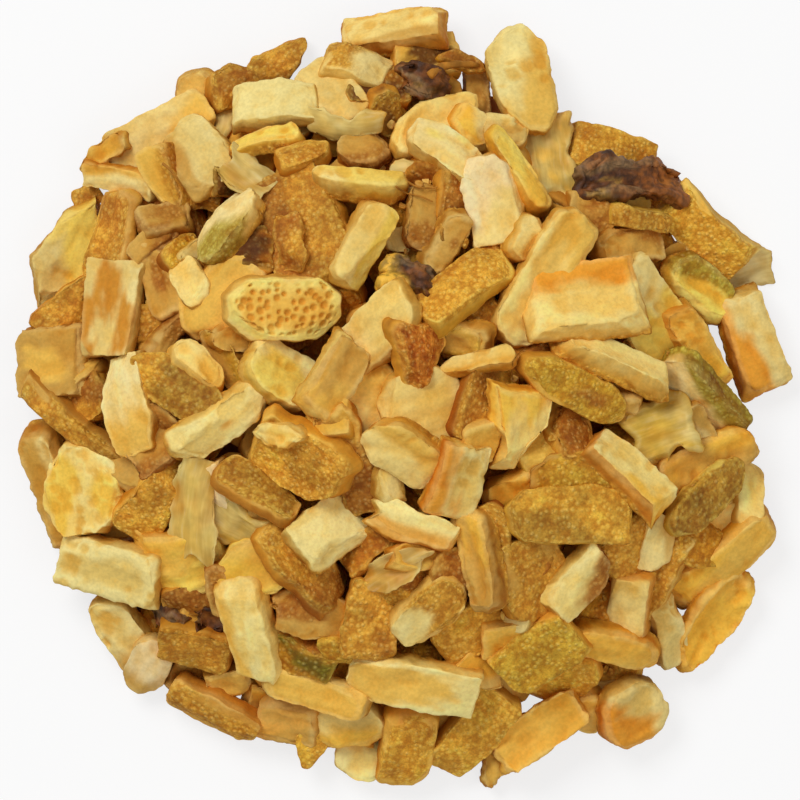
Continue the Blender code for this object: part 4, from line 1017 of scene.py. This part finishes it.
COLOURS = {
    "white": linear(252, 226, 152), "ivory": linear(254, 229, 144), "cream": linear(252, 218, 127),
    "pale": linear(242, 214, 134), "pink": linear(255, 226, 164), "yellow": linear(254, 218, 96),
    "gold": linear(242, 190, 80), "tan": linear(214, 164, 74), "apricot": linear(236, 172, 72),
    "orange": linear(252, 194, 68), "deep": linear(242, 160, 40), "curled": linear(240, 184, 72),
    "pitted": linear(252, 224, 120), "rind": linear(230, 172, 60), "rust": linear(224, 142, 46),
    "olive": linear(226, 180, 56), "moss": linear(192, 170, 58), "green": linear(132, 122, 30),
    "dusk": linear(198, 152, 54), "brown": linear(190, 126, 42), "umber": linear(118, 74, 24),
    "char": linear(86, 48, 20), "skin": linear(226, 196, 112), "amber": linear(216, 144, 36),
    # rim: pale upper edges, partly their own colour and partly a painted highlight
    "ember": linear(156, 92, 38), "ash": linear(148, 116, 76), "rim": linear(254, 232, 156),
    # core: partly the colour of packed peel, partly painted shade for the gaps it shows through
    "core": linear(176, 100, 44),
}

Look = namedtuple("Look", "top under stain place")
Spots = namedtuple("Spots", "space u v w from_rim drift mottling stained rim side")


def read_look(look):
    """A look, written top/under+stain@place, as its four parts; all but the top may be empty.

    Under is what shows on the sides. The place of the stain is a heading in degrees, or mid. A chip
    that is stained with its own colour is a plain one.
    """
    look, _, place = look.partition("@")
    look, _, stain = look.partition("+")
    top, _, under = look.partition("/")
    return Look(top, under, stain, place)


def blend(first, second, share):
    """Part way from one colour to another, point by point."""
    return first + (second - first) * share[:, None]


def tinted(colour, tint, share):
    """A colour with a tint, point by point."""
    return colour * (1.0 + (tint - 1.0) * share[:, None])


def varied(colour, amount, swings):
    """A colour made lighter and darker, point by point."""
    return colour * (1.0 + amount * swings[:, None])


def stain_share(place, u, v, axes, patches):
    """How stained each point is: round the middle, on the named side, or in seeded blotches."""
    if not place:
        return BLOTCH_STRENGTH * ease(0.47, 0.66, patches)
    if place == "mid":
        lying = 0.98 - 1.22 * np.hypot(u + 0.5 * (patches - 0.5), v) + 1.4 * (patches - 0.5)
    else:
        heading = np.radians(float(place))
        turned = np.array((np.cos(heading), np.sin(heading), 0.0)) @ axes.T
        lying = (u * turned[0] + v * turned[1]) / (np.hypot(turned[0], turned[1]) + 1e-9)
    return STAIN_STRENGTH * ease(-0.05, 0.50, lying + 2.0 * (patches - 0.5))


def spots_of(chip, slab, outward, space):
    """What the colour of each point of a chip depends on."""
    half = np.ptp(slab.points, axis=0) / 2
    u, v, w = (slab.points / half).T
    drift = swing(space, "drift")
    stained = stain_share(read_look(chip.look).place, u, v, chip.axes, texture(space, "patches"))
    # Pale upper rim: partly the edge's own paleness and partly a painted highlight
    near_rim = 1.0 - ease(0.0, 0.65, slab.from_rim)
    rim = near_rim * ease(0.0, 0.55, w) * np.clip(0.9 + 1.6 * drift, 0.0, 1.0)
    side = ease(0.62, 0.25, np.abs(outward[:, 2]))
    return Spots(space, u, v, w, slab.from_rim, drift, swing(space, "mottling"), stained, rim, side)


def rind_share(look, at):
    """How much of each point is rind: the upper part of a chip with its rind up, else the lowest."""
    if look.top not in RINDS:
        lowest = 0.15 if look.under in RINDS_BELOW else 0.55
        return ease(lowest - 0.2, lowest + 0.2, 0.8 * at.drift - at.w)
    rind = ease(0.15, 0.55, at.w + 0.5 * at.drift)
    inner = ease(-0.4, 0.2, at.from_rim + 2.4 * at.drift + 0.3)
    rind = rind * (1.0 - 0.9 * (1.0 - inner) * (look.under in PITHS))
    if look.stain in PITHS:
        rind = rind * (1.0 - 0.9 * at.stained)
    return rind


def pith_colour(look, at, tone, stain_tone, rng):
    """Pith: mottled, stained, toasted on one side, lighter at the rim, partly as its pale dried edge and
    partly as a painted highlight, with painted shade on its sides, deeper towards the foot.
    """
    if look.stain == look.top:
        calm = CALM["plain"]
    else:
        calm = CALM["light"] if look.top in LIGHT_PITHS else 1.0
    heading = rng.uniform(0.0, 2.0 * np.pi)
    towards = at.u * np.cos(heading) + at.v * np.sin(heading)
    toast = ease(0.05, 1.15, towards + 1.4 * swing(at.space, "toast")) * rng.uniform(*TOAST_SHARES) * calm
    askew = rng.uniform(-ASKEW, ASKEW, 2)
    uneven = 4.5 * swing(at.space, "golden") + askew[0] * at.u + askew[1] * at.v
    inwards = 0.4 * np.minimum(at.from_rim, 1.5) + uneven + 0.6
    golden = calm * rng.uniform(*GOLDEN_SHARES) * ease(0.4, 1.8, inwards)
    streaks = swing(at.space, "streaks")
    pith = tone * (1.0 + PITH_MOTTLING * at.mottling + STREAKING * streaks)[:, None]
    pith = tinted(pith, GOLDEN_TINT, golden)
    pith = tinted(blend(pith, stain_tone, at.stained), TOASTED, toast)

    side = varied(COLOURS[look.under], SIDE_MOTTLING, at.mottling) if look.under in PITHS else pith
    # The sides get painted shade, and grow darker and browner towards the foot
    side = tinted(side * SIDE_SHADE_TINT, FOOT_TINT, ease(0.9, -0.8, at.w + 0.4 * at.drift))
    pith = blend(pith, varied(side, LAYERING, swing(at.space, "layers")), at.side)
    return blend(pith, 0.45 * pith + 0.55 * COLOURS["rim"], RIM_PALENESS_AND_HIGHLIGHT * at.rim)


def pith_holes(look, space, index):
    """How deep each point lies in the small holes that the pith of some chips has here and there."""
    holed = look.top in PITHS and np.random.default_rng(SEEDS["holes"] + index).random() < HOLED_SHARE
    if not holed:
        return np.zeros(len(space))
    return gland_pits(space, HOLE_SPACING) * ease(0.52, 0.66, texture(space, "holed"))


def rind_colour(look, at, tone, stain_tone, rng):
    """Rind: mottled, pitted, stained, lighter at the rim, partly as its pale edge and partly as a painted
    highlight. Also gives how deep its pits are.
    """
    rind_up = look.top in RINDS
    strength, spacing = PITS.get(look.top if rind_up else look.stain, USUAL_PITS)
    pit = strength * gland_pits(at.space, spacing * rng.uniform(0.94, 1.06))
    rind = varied(tone, RIND_MOTTLING, at.mottling)
    if rind_up:
        rind = blend(rind, varied(stain_tone, STAIN_MOTTLING, at.mottling), 0.85 * at.stained)
        # Lighter at the rim: partly the pale edge and partly a painted highlight
        rind = blend(rind, 0.6 * rind + 0.4 * COLOURS["yellow"], 0.7 * at.rim)
    if look.top == "pitted":
        middle = ease(0.3, 2.6, at.from_rim + 3.0 * swing(at.space, "pitted middle"))
        rind = blend(varied(tone, 0.1, at.mottling), COLOURS["gold"] * PITTED_MIDDLE_TINT, 0.9 * middle)
        pit = pit * ease(0.1, 0.6, at.from_rim + at.drift)
        return blend(rind, rind * GOLDEN_PIT_TINT, pit), pit
    return blend(rind, rind * PIT_TINT, pit), pit


def burnt_colour(look, at, stain_tone):
    """Burnt peel: dark and streaked, with some ash, embers and a little that didn't burn."""
    burnt = COLOURS["char"] * (0.1 + 1.7 * texture(at.space, "burning")[:, None])
    burnt = blend(burnt, COLOURS["ash"], 0.6 * ease(0.54, 0.66, texture(at.space, "ash")))
    burnt = blend(burnt, COLOURS["ember"], 0.5 * ease(0.50, 0.66, texture(at.space, "embers")))
    burnt = blend(burnt, COLOURS["tan"] * 0.6, 0.7 * ease(0.66, 0.80, texture(at.space, "unburnt")))
    return blend(burnt, stain_tone, 0.8 * at.stained) if look.place else burnt


def colour_chip(chip, slab, outward, relief, space, index):
    """Colour, share of pebbled rind and depth of the pits at each point of a chip."""
    look = read_look(chip.look)
    rng = np.random.default_rng(SEEDS["colour"] + index)
    at = spots_of(chip, slab, outward, space)
    rind = rind_share(look, at)
    if look.top in RINDS:
        rind_tone, pith_tone = COLOURS[look.top], COLOURS[look.under or "gold"]
        stain_tone = COLOURS[look.stain or "amber"]
    else:
        rind_tone = COLOURS[look.under if look.under in RINDS_BELOW else "rind"]
        pith_tone, stain_tone = COLOURS[look.top], COLOURS[look.stain or "gold"]

    pith = pith_colour(look, at, pith_tone, stain_tone, rng)
    holes = pith_holes(look, space, index)
    pith = blend(pith, pith * HOLE_TINT, holes)
    skin, pit = rind_colour(look, at, rind_tone, stain_tone, rng)
    tone = blend(pith, skin, rind)
    if look.top not in RINDS and look.stain in PEBBLED_STAINS:
        rind = np.maximum(rind, 0.9 * at.stained)
    if look.top == "skin":
        tone = tone * (0.84 + 0.32 * texture(space, "fibres")[:, None])
        rind = 0.0 * rind
    if look.top == "char":
        tone = burnt_colour(look, at, stain_tone)
        rind = 0.0 * rind

    # Painted shade in the dents and painted highlight on what stands out, by the relief
    tone = tinted(tone, DENT_SHADE_TINT, np.clip(-relief / DEEP_DENT, -RAISED_HIGHLIGHT_SHARE, 1.0))
    # Hidden chips under the others are darkened as painted shade
    if chip.layer == "fill":
        tone = tone * FILL_SHADE_TINT
    tone = np.clip(tone * rng.uniform(*BRIGHTNESS), 0.0, 1.0)
    sunk = PIT_DEPTHS.get(look.top, USUAL_PIT_DEPTH) * pit * rind + HOLE_DEPTH * holes * (1.0 - rind)
    return tone, PITTED_RIND * rind if look.top == "pitted" else rind, sunk


def make_chip(chip, index, spacing):
    """One chip in the heap's frame, in millimetres."""
    look = top_look(chip.look)
    rng = np.random.default_rng(SEEDS["edges"] + index)
    edge = EDGES.get(look, rng.uniform(*TOP_EDGES))
    wobble = WOBBLES.get(look, USUAL_WOBBLE)
    softness = rng.uniform(*CORNER_SOFTNESS)
    if len(chip.corners) == ROUND_CORNERS:
        softness *= ROUNDER
    slab = make_slab(chip.corners, chip.thickness, spacing, edge, softness, wobble, index)
    space = own_space(slab.points, index)
    shaped, outward, relief = shape_chip(chip, slab, space, index)
    tone, rind, sunk = colour_chip(chip, slab, outward, relief, space, index)
    placed = chip.place + (shaped - outward * sunk[:, None]) @ chip.axes
    placed[:, :2] -= MIDDLE
    over_floor = FLOOR_CLEARANCE + 0.1 * (slab.points[:, 2] + chip.thickness / 2)
    placed[:, 2] = np.maximum(placed[:, 2], over_floor)
    return Shape(placed, slab.quads, slab.triangles, space, tone, rind)


# ---- core, crumbs and strands ----

def packed_core():
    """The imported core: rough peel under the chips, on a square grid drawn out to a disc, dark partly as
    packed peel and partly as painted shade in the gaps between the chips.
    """
    steps = int(2 * CORE_SHOWN_RADIUS / CORE_SPACING)
    line = np.linspace(-CORE_SHOWN_RADIUS, CORE_SHOWN_RADIUS, steps)
    a, b = (side.ravel() / CORE_SHOWN_RADIUS for side in np.meshgrid(line, line, indexing="ij"))
    disc = np.column_stack((a * np.sqrt(1 - b * b / 2), b * np.sqrt(1 - a * a / 2))) * CORE_SHOWN_RADIUS
    flat = np.column_stack((disc, np.zeros(len(disc))))
    scale = CORE_RADIUS / CORE_SHOWN_RADIUS
    height = core_height(disc[:, 0] * scale, disc[:, 1] * scale) * CORE_SHOWN_HEIGHT
    height = height * (0.86 + 0.2 * layered(flat + 500.0, 3.0, 3, 77)) + 0.05

    index = np.arange(steps * steps).reshape(steps, steps)
    quads, rim, under = grid_quads(index), grid_rim(index), steps * steps
    foot = np.full(len(disc), FLOOR_CLEARANCE)
    points = np.concatenate((np.column_stack((disc, height)), np.column_stack((disc, foot))))
    points[:, :2] -= MIDDLE
    quads = np.concatenate((quads, quads[:, ::-1] + under, band(rim, rim + under)))
    both = np.concatenate((flat, flat))
    # Dark partly as packed peel and partly as painted shade in the gaps between the chips
    tone = COLOURS["core"] * (0.75 + 0.5 * layered(both, 1.8, 2, 79))[:, None]
    no_triangles = np.zeros((0, 3), int)
    return Shape(points, quads, no_triangles, points + 900.0, np.clip(tone, 0, 1), np.zeros(len(points)))


def round_about(values, reach):
    """Mean of the values within a square round each cell of the height map."""
    for axis in (0, 1):
        padding = [(0, 0), (0, 0)]
        padding[axis] = (reach, reach)
        padded = np.pad(values, padding, "edge")
        values = np.lib.stride_tricks.sliding_window_view(padded, 2 * reach + 1, axis).mean(-1)
    return values


def crumbs(heap):
    """Small bits that came to rest in the dips between the chips."""
    rng = np.random.default_rng(SEEDS["crumbs"])
    low = heap.height < round_about(heap.height, DIP_REACH) - DIP
    on_top = np.array([chip.layer == "upper" for chip in heap.chips])[heap.owner].astype(float)
    clear = round_about(on_top, CLEAR_REACH) < 1e-6
    spots = np.argwhere(low & clear & (heap.owner >= 0) & (heap.height > LOWEST_CRUMB))
    for row, column in spots[rng.choice(len(spots), CRUMB_COUNT, replace=False)]:
        x, y = AXIS[column], AXIS[row]
        length, width, thickness = (rng.uniform(*sizes) for sizes in CRUMB_SIZES)
        turn = rng.uniform(0.0, 2.0 * np.pi)
        roll = np.radians(rng.uniform(-CRUMB_ROLL, CRUMB_ROLL))
        reach = int(0.5 * length / CELL) + 1
        window = slice(row - reach, row + reach + 1), slice(column - reach, column + reach + 1)
        px, py, ground = MAP_X[window] - x, MAP_Y[window] - y, heap.height[window]
        axes = chip_axes(turn, lean(px.ravel(), py.ravel(), ground.ravel()), roll)
        rest = np.percentile(ground, CRUMB_GROUND) + CRUMB_LIFT * thickness
        corners = make_outline(length, width, rng.choice(CRUMB_SHAPES), rng)
        look = rng.choice(CRUMB_LOOKS)
        yield Chip(np.array((x, y, rest)), axes, corners, thickness, look, "loose")


def spine_of(heap, path, lift, unevenness, salt):
    """The middle line of a strand that lies over the heap."""
    path = np.array(path, float)
    count = int(distances(path)[-1] / STRAND_STEP) + 2
    x, y = resample(path, count, to_end=True).T
    cells = (((value + HALF_MAP) / CELL).astype(int) for value in (y, x))
    z = heap.height[tuple(np.clip(cell, 0, len(AXIS) - 1) for cell in cells)] + lift
    for _ in range(SMOOTHED):
        lowest = z - STRAND_FALL
        x, y, z = (np.convolve(np.pad(value, 2, "edge"), SMOOTHING, "valid") for value in (x, y, z))
        z = np.maximum(z, lowest)
    spine = np.column_stack((x, y, z))
    bends = np.column_stack([noise(spine + k, 0.9, salt + k) for k in (0, 7, 13)]) - 0.5
    return spine + unevenness * bends


def strand(heap, path, lift, first, last, salt):
    """A thin tapered tube that lies over the heap, from its first to its last radius."""
    spine = spine_of(heap, path, lift, 0.5 * first, salt)
    count = len(spine)
    ahead = np.gradient(spine, axis=0)
    ahead /= np.linalg.norm(ahead, axis=1, keepdims=True)
    sideways = np.cross(ahead, (0.0, 0.0, 1.0))
    sideways /= np.linalg.norm(sideways, axis=1, keepdims=True)
    upward = np.cross(sideways, ahead)
    angles = np.arange(STRAND_SIDES) * 2.0 * np.pi / STRAND_SIDES
    cos, sin = (values[None, :, None] for values in (np.cos(angles), np.sin(angles)))
    around = sideways[:, None] * cos + upward[:, None] * sin
    radius = np.linspace(first, last, count) * (0.8 + 0.4 * noise(spine, 0.7, salt))
    radius[[0, -1]] *= TIPS

    tube = (spine[:, None] + around * radius[:, None, None]).reshape(-1, 3)
    tube[:, :2] -= MIDDLE
    index = np.arange(len(tube)).reshape(count, STRAND_SIDES)
    onward = np.roll(index, -1, 1)
    quads = np.stack((index[:-1], onward[:-1], onward[1:], index[1:]), -1).reshape(-1, 4)
    points = np.concatenate((tube, [tube[index[0]].mean(0), tube[index[-1]].mean(0)]))
    start = np.column_stack((onward[0], index[0], np.full(STRAND_SIDES, len(tube))))
    end = np.column_stack((index[-1], onward[-1], np.full(STRAND_SIDES, len(tube) + 1)))
    tone = COLOURS["brown"] * (0.5 + 0.7 * noise(points, 0.8, salt + 3))[:, None]
    return Shape(points, quads, np.concatenate((start, end)), points, tone, np.zeros(len(points)))


# ---- meshes ----

def kind_of(chip):
    """The joined mesh that a chip goes into."""
    if chip.layer == "fill":
        return "hidden_chips"
    look = top_look(chip.look)
    kind = next(kind for kind, looks in KINDS.items() if look in looks)
    return kind if kind in WHOLE_KINDS else f"{kind}_{chip.layer}"


def dressed_heap(heap):
    """The shapes of every joined mesh, by its name."""
    groups = {"crumbs": [], "strands": []}
    for number, (chip, area) in enumerate(zip(heap.chips, heap.showing())):
        inside_heap = np.hypot(*chip.place[:2]) < SIDE_RADIUS
        if chip.layer == "fill" and area < LEAST_SHOWN and inside_heap:
            continue
        spacing = SPACING[chip.layer] * FINER.get(top_look(chip.look), 1.0)
        groups.setdefault(kind_of(chip), []).append(make_chip(chip, number, spacing))
    for number, crumb in enumerate(crumbs(heap), len(heap.chips)):
        groups["crumbs"].append(make_chip(crumb, number, SPACING["loose"]))
    for number, row in enumerate(STRANDS, SEEDS["strands"]):
        groups["strands"].append(strand(heap, *row, number))
    return groups


def add_object(name, data):
    """A new object in the scene."""
    made = bpy.data.objects.new(name, data)
    bpy.context.scene.collection.objects.link(made)
    return made


def attach(mesh, name, kind, field, values):
    """Store values at a mesh's points, for its shader."""
    attribute = mesh.attributes.new(name, kind, "POINT")
    attribute.data.foreach_set(field, values.astype(np.float32).ravel())


def mesh_object(name, shapes, material):
    """All the shapes as one smooth mesh with their colours, riding on the heap."""
    starts = np.cumsum([0] + [len(s.points) for s in shapes])
    points, flat, tone, rind = (
        np.concatenate([getattr(s, field) for s in shapes]) for field in ("points", "flat", "tone", "rind"))
    quads, triangles = (
        np.concatenate([getattr(s, field) + start for s, start in zip(shapes, starts)])
        for field in ("quads", "triangles"))
    loops = np.concatenate((quads.ravel(), triangles.ravel()))
    sizes = np.concatenate((np.full(len(quads), 4), np.full(len(triangles), 3)))
    first = np.concatenate(((0,), np.cumsum(sizes)[:-1]))

    mesh = bpy.data.meshes.new(name)
    mesh.vertices.add(len(points))
    mesh.vertices.foreach_set("co", (points * METRES).astype(np.float32).ravel())
    mesh.loops.add(len(loops))
    mesh.loops.foreach_set("vertex_index", loops.astype(np.int32))
    mesh.polygons.add(len(sizes))
    mesh.polygons.foreach_set("loop_start", first.astype(np.int32))
    mesh.update(calc_edges=True)
    attach(mesh, "tone", "FLOAT_COLOR", "color", np.column_stack((tone, np.ones(len(tone)))))
    attach(mesh, "rind", "FLOAT", "value", rind)
    attach(mesh, "flat", "FLOAT_VECTOR", "vector", flat)
    mesh.shade_smooth()
    mesh.materials.append(material)
    piece = add_object(name, mesh)
    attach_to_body(piece, "root")
    return piece


# ---- materials ----

# Finer noise that the shaders add: size of its lumps in millimetres, and detail
SHADER_NOISE = {
    "fine": (0.40, 3.0), "blotches": (1.5, 3.0), "crumb": (0.85, 5.0), "grain": (0.24, 3.0),
    "worn": (1.1, 2.0), "fibres": (0.55, 3.0), "clouds": (1.8, 2.0), "crust": (0.7, 5.0),
}
GLAND_SPACING, GLAND_SCATTER = 0.64, 0.85
RELIEF_HEIGHT = 0.00018     # metres that the shaders' relief stands out
GLOSS = 0.2
NET_TINT = (0.62, 0.44, 0.26, 1.0)
# Glands lightened to gold: partly their colour, partly a painted highlight on their bumps
GLAND_GOLD_AND_GLINT = (0.95, 0.68, 0.26, 1.0)
GOLDEN_BLOTCH_TINT = (0.96, 0.80, 0.46, 1.0)
FIBRE_TINT = (0.74, 0.64, 0.46, 1.0)
FIBRE_COLOUR = (0.86, 0.74, 0.42, 1.0)
ALONG_FIBRES = (0.15, 1.2, 0.6)


class Nodes:
    """Short way to wire up the nodes of a material or of the world."""

    def __init__(self, owner):
        owner.use_nodes = True
        self.owner = owner
        self.tree = owner.node_tree
        self.tree.nodes.clear()

    def add(self, kind, inputs=None, **settings):
        """A new node with its settings and inputs; an input is a value or another node's output."""
        node = self.tree.nodes.new(kind)
        for key, value in settings.items():
            setattr(node, key, value)
        for key, value in (inputs or {}).items():
            if isinstance(value, bpy.types.NodeSocket):
                self.tree.links.new(value, node.inputs[key])
            else:
                node.inputs[key].default_value = value
        return node

    def out(self, kind, inputs=None, **settings):
        """The first output of a new node."""
        return self.add(kind, inputs, **settings).outputs[0]

    def attribute(self, name, output):
        """What a mesh has stored at its points under a name."""
        return self.add("ShaderNodeAttribute", attribute_name=name).outputs[output]

    def math(self, operation, a, b):
        """The product, the sum and so on of two numbers."""
        return self.out("ShaderNodeMath", {0: a, 1: b}, operation=operation)

    def mix(self, share, a, b, way="MIX"):
        """Part way from one colour to another."""
        return self.add("ShaderNodeMix", {0: share, 6: a, 7: b}, data_type="RGBA",
                        blend_type=way).outputs[2]

    def mix_numbers(self, share, a, b):
        """Part way from one number to another."""
        return self.out("ShaderNodeMix", {0: share, 2: a, 3: b}, data_type="FLOAT")

    def tint(self, colour, by):
        """A colour times another."""
        return self.mix(1.0, colour, by, "MULTIPLY")

    def shade(self, colour, value, darkest, lightest, spread=0.2):
        """A colour made darker and lighter by a noise that spreads about 0.5."""
        grey = self.step(value, 0.5 - spread, 0.5 + spread, darkest, lightest)
        return self.tint(colour, self.out("ShaderNodeCombineColor", {0: grey, 1: grey, 2: grey}))

    def step(self, value, low, high, out_low=0.0, out_high=1.0):
        """Smooth step from one output to another as a value goes from low to high."""
        inputs = {0: value, 1: low, 2: high, 3: out_low, 4: out_high}
        return self.out("ShaderNodeMapRange", inputs, interpolation_type="SMOOTHSTEP")

    def noise(self, vector, name):
        """One of the named noises."""
        size, detail = SHADER_NOISE[name]
        return self.out("ShaderNodeTexNoise", {"Vector": vector, "Scale": 1.0 / size, "Detail": detail})

    def seen(self):
        """1 for what the camera sees itself, in a mirror or through glass, and 0 for lighting."""
        rays = self.add("ShaderNodeLightPath").outputs
        through = self.math("MAXIMUM", rays["Is Glossy Ray"], rays["Is Transmission Ray"])
        return self.math("MAXIMUM", rays["Is Camera Ray"], through)

    def surface(self, colour, height, roughness, relief):
        """Finish the material as a rough, slightly glossy surface with relief, and return it."""
        bump = self.out("ShaderNodeBump", {"Strength": relief, "Distance": RELIEF_HEIGHT, "Height": height})
        shader = self.out("ShaderNodeBsdfPrincipled", {
            "Base Color": colour, "Roughness": roughness, "Normal": bump, "Specular IOR Level": GLOSS})
        self.add("ShaderNodeOutputMaterial", {0: shader})
        return self.owner


def pith_look(n, tone, flat, fine, blotches):
    """Colour and height of pith: softly mottled, with golden blotches and a crumbly surface."""
    pith = n.shade(tone, fine, 0.93, 1.06)
    pith = n.mix(n.step(blotches, 0.52, 0.70, 0.0, 0.35), pith, n.tint(pith, GOLDEN_BLOTCH_TINT))
    crumb = n.noise(flat, "crumb")
    return pith, n.math("ADD", n.math("MULTIPLY", fine, 0.15), n.math("MULTIPLY", crumb, 0.9))


def rind_look(n, tone, flat, fine, blotches):
    """Colour and height of rind: pebbled on a brown net, with glands lightened to gold, partly their own
    colour and partly a painted highlight on their bumps.
    """
    cells = n.add("ShaderNodeTexVoronoi", {"Vector": flat, "Scale": 1.0 / GLAND_SPACING,
                                           "Randomness": GLAND_SCATTER}).outputs
    away, chance = cells["Distance"], n.out("ShaderNodeSeparateColor", {0: cells["Color"]})
    glands = n.math("MULTIPLY", n.step(away, 0.50, 0.10), n.step(chance, 0.0, 0.8, 0.3, 1.0))
    net = n.tint(tone, NET_TINT)
    worn = n.step(n.noise(flat, "worn"), 0.38, 0.58, 0.40, 1.0)
    skin = n.mix(n.math("MULTIPLY", n.step(away, 0.22, 0.66, 0.0, 0.85), worn), tone, net)
    # Glands lightened to gold, partly their colour and partly a painted highlight
    skin = n.mix(n.math("MULTIPLY", glands, 0.62), skin, n.mix(0.35, tone, GLAND_GOLD_AND_GLINT))
    skin = n.mix(n.step(blotches, 0.48, 0.66, 0.0, 0.60), skin, net)
    skin = n.shade(skin, n.noise(flat, "grain"), 0.86, 1.14)
    return skin, n.math("ADD", n.math("MULTIPLY", glands, 1.1), n.math("MULTIPLY", fine, 0.7))


def peel_material():
    """Dried peel, pith or rind as its points say."""
    n = Nodes(bpy.data.materials.new("dried_peel"))
    tone, flat = n.attribute("tone", "Color"), n.attribute("flat", "Vector")
    rind = n.attribute("rind", "Fac")
    fine, blotches = n.noise(flat, "fine"), n.noise(flat, "blotches")
    pith, pith_height = pith_look(n, tone, flat, fine, blotches)
    skin, skin_height = rind_look(n, tone, flat, fine, blotches)
    height = n.mix_numbers(rind, pith_height, skin_height)
    return n.surface(n.mix(rind, pith, skin), height, roughness=0.70, relief=0.7)


def membrane_material():
    """Dried membrane: fine fibres that run along it, pale and dark by turns."""
    n = Nodes(bpy.data.materials.new("dried_membrane"))
    tone, flat = n.attribute("tone", "Color"), n.attribute("flat", "Vector")
    along = n.out("ShaderNodeVectorMath", {0: flat, 1: ALONG_FIBRES}, operation="MULTIPLY")
    fibres = n.noise(along, "fibres")
    colour = n.mix(n.step(fibres, 0.38, 0.58, 0.32, 0.0), tone, n.tint(tone, FIBRE_TINT))
    colour = n.mix(n.step(fibres, 0.56, 0.72, 0.0, 0.18), colour, FIBRE_COLOUR)
    colour = n.shade(colour, n.noise(flat, "clouds"), 0.88, 1.10)
    return n.surface(colour, fibres, roughness=0.42, relief=0.28)


def char_material():
    """Burnt peel: crusted and a little glossy."""
    n = Nodes(bpy.data.materials.new("burnt_peel"))
    tone, flat = n.attribute("tone", "Color"), n.attribute("flat", "Vector")
    crust = n.noise(flat, "crust")
    colour = n.shade(tone, crust, 0.55, 1.35, spread=0.15)
    return n.surface(colour, crust, roughness=0.48, relief=1.0)


# ---- floor, light and camera ----

def floor_material():
    """Pale floor that reads as white to the camera and still takes a soft shadow."""
    n = Nodes(bpy.data.materials.new("pale_floor"))
    plain = n.out("ShaderNodeBsdfDiffuse", {"Color": FLOOR_COLOUR})
    lit = n.out("ShaderNodeBsdfDiffuse", {"Color": FLOOR_LIT})
    glow = n.out("ShaderNodeEmission", {"Color": WHITE, "Strength": FLOOR_GLOW})
    shown = n.out("ShaderNodeAddShader", {0: lit, 1: glow})
    n.add("ShaderNodeOutputMaterial", {0: n.out("ShaderNodeMixShader", {0: n.seen(), 1: plain, 2: shown})})
    return n.owner


def add_floor():
    """A large flat floor at the foot of the heap."""
    mesh = bpy.data.meshes.new("floor")
    corners = [(x * FLOOR_REACH, y * FLOOR_REACH, 0) for x, y in ((-1, -1), (1, -1), (1, 1), (-1, 1))]
    mesh.from_pydata(corners, [], [(0, 1, 2, 3)])
    mesh.materials.append(floor_material())
    add_object("floor", mesh)


def add_lamps():
    """Soft square lamps that face the heap."""
    for name, (place, size, power) in LAMPS.items():
        lamp = bpy.data.lights.new(name, "AREA")
        lamp.shape = "SQUARE"
        lamp.size = size
        lamp.energy = power
        made = add_object(name, lamp)
        made.location = place
        made.rotation_euler = (-Vector(place)).to_track_quat("-Z", "Y").to_euler()


def add_world():
    """Even light from all round, white where the camera looks past the floor."""
    world = bpy.data.worlds.new("studio")
    bpy.context.scene.world = world
    n = Nodes(world)
    soft = n.out("ShaderNodeBackground", {"Color": WHITE, "Strength": AMBIENT})
    white = n.out("ShaderNodeBackground", {"Color": WHITE, "Strength": 1.0})
    n.add("ShaderNodeOutputWorld", {0: n.out("ShaderNodeMixShader", {0: n.seen(), 1: soft, 2: white})})


def add_camera():
    """Camera straight above the heap."""
    camera = bpy.data.cameras.new("camera")
    camera.sensor_width = SENSOR_WIDTH
    camera.lens = SENSOR_WIDTH * (CAMERA_HEIGHT - SHARP_HEIGHT) / FRAME_WIDTH
    camera.clip_start = 0.01
    camera.clip_end = 10.0
    made = add_object("camera", camera)
    made.location = (CAMERA_X * METRES, CAMERA_Y * METRES, CAMERA_HEIGHT * METRES)
    bpy.context.scene.camera = made


groups = dressed_heap(lay_heap())
peel = peel_material()
materials = {"membranes": membrane_material(), "charred_bits": char_material()}
for kind in sorted(groups):
    piece = mesh_object(kind, groups[kind], materials.get(kind, peel))
    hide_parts(CAD_NODE)
mesh_object("packed_core", [packed_core()], peel)

add_floor()
add_world()
add_lamps()
add_camera()
bpy.context.scene.view_settings.view_transform = "Standard"
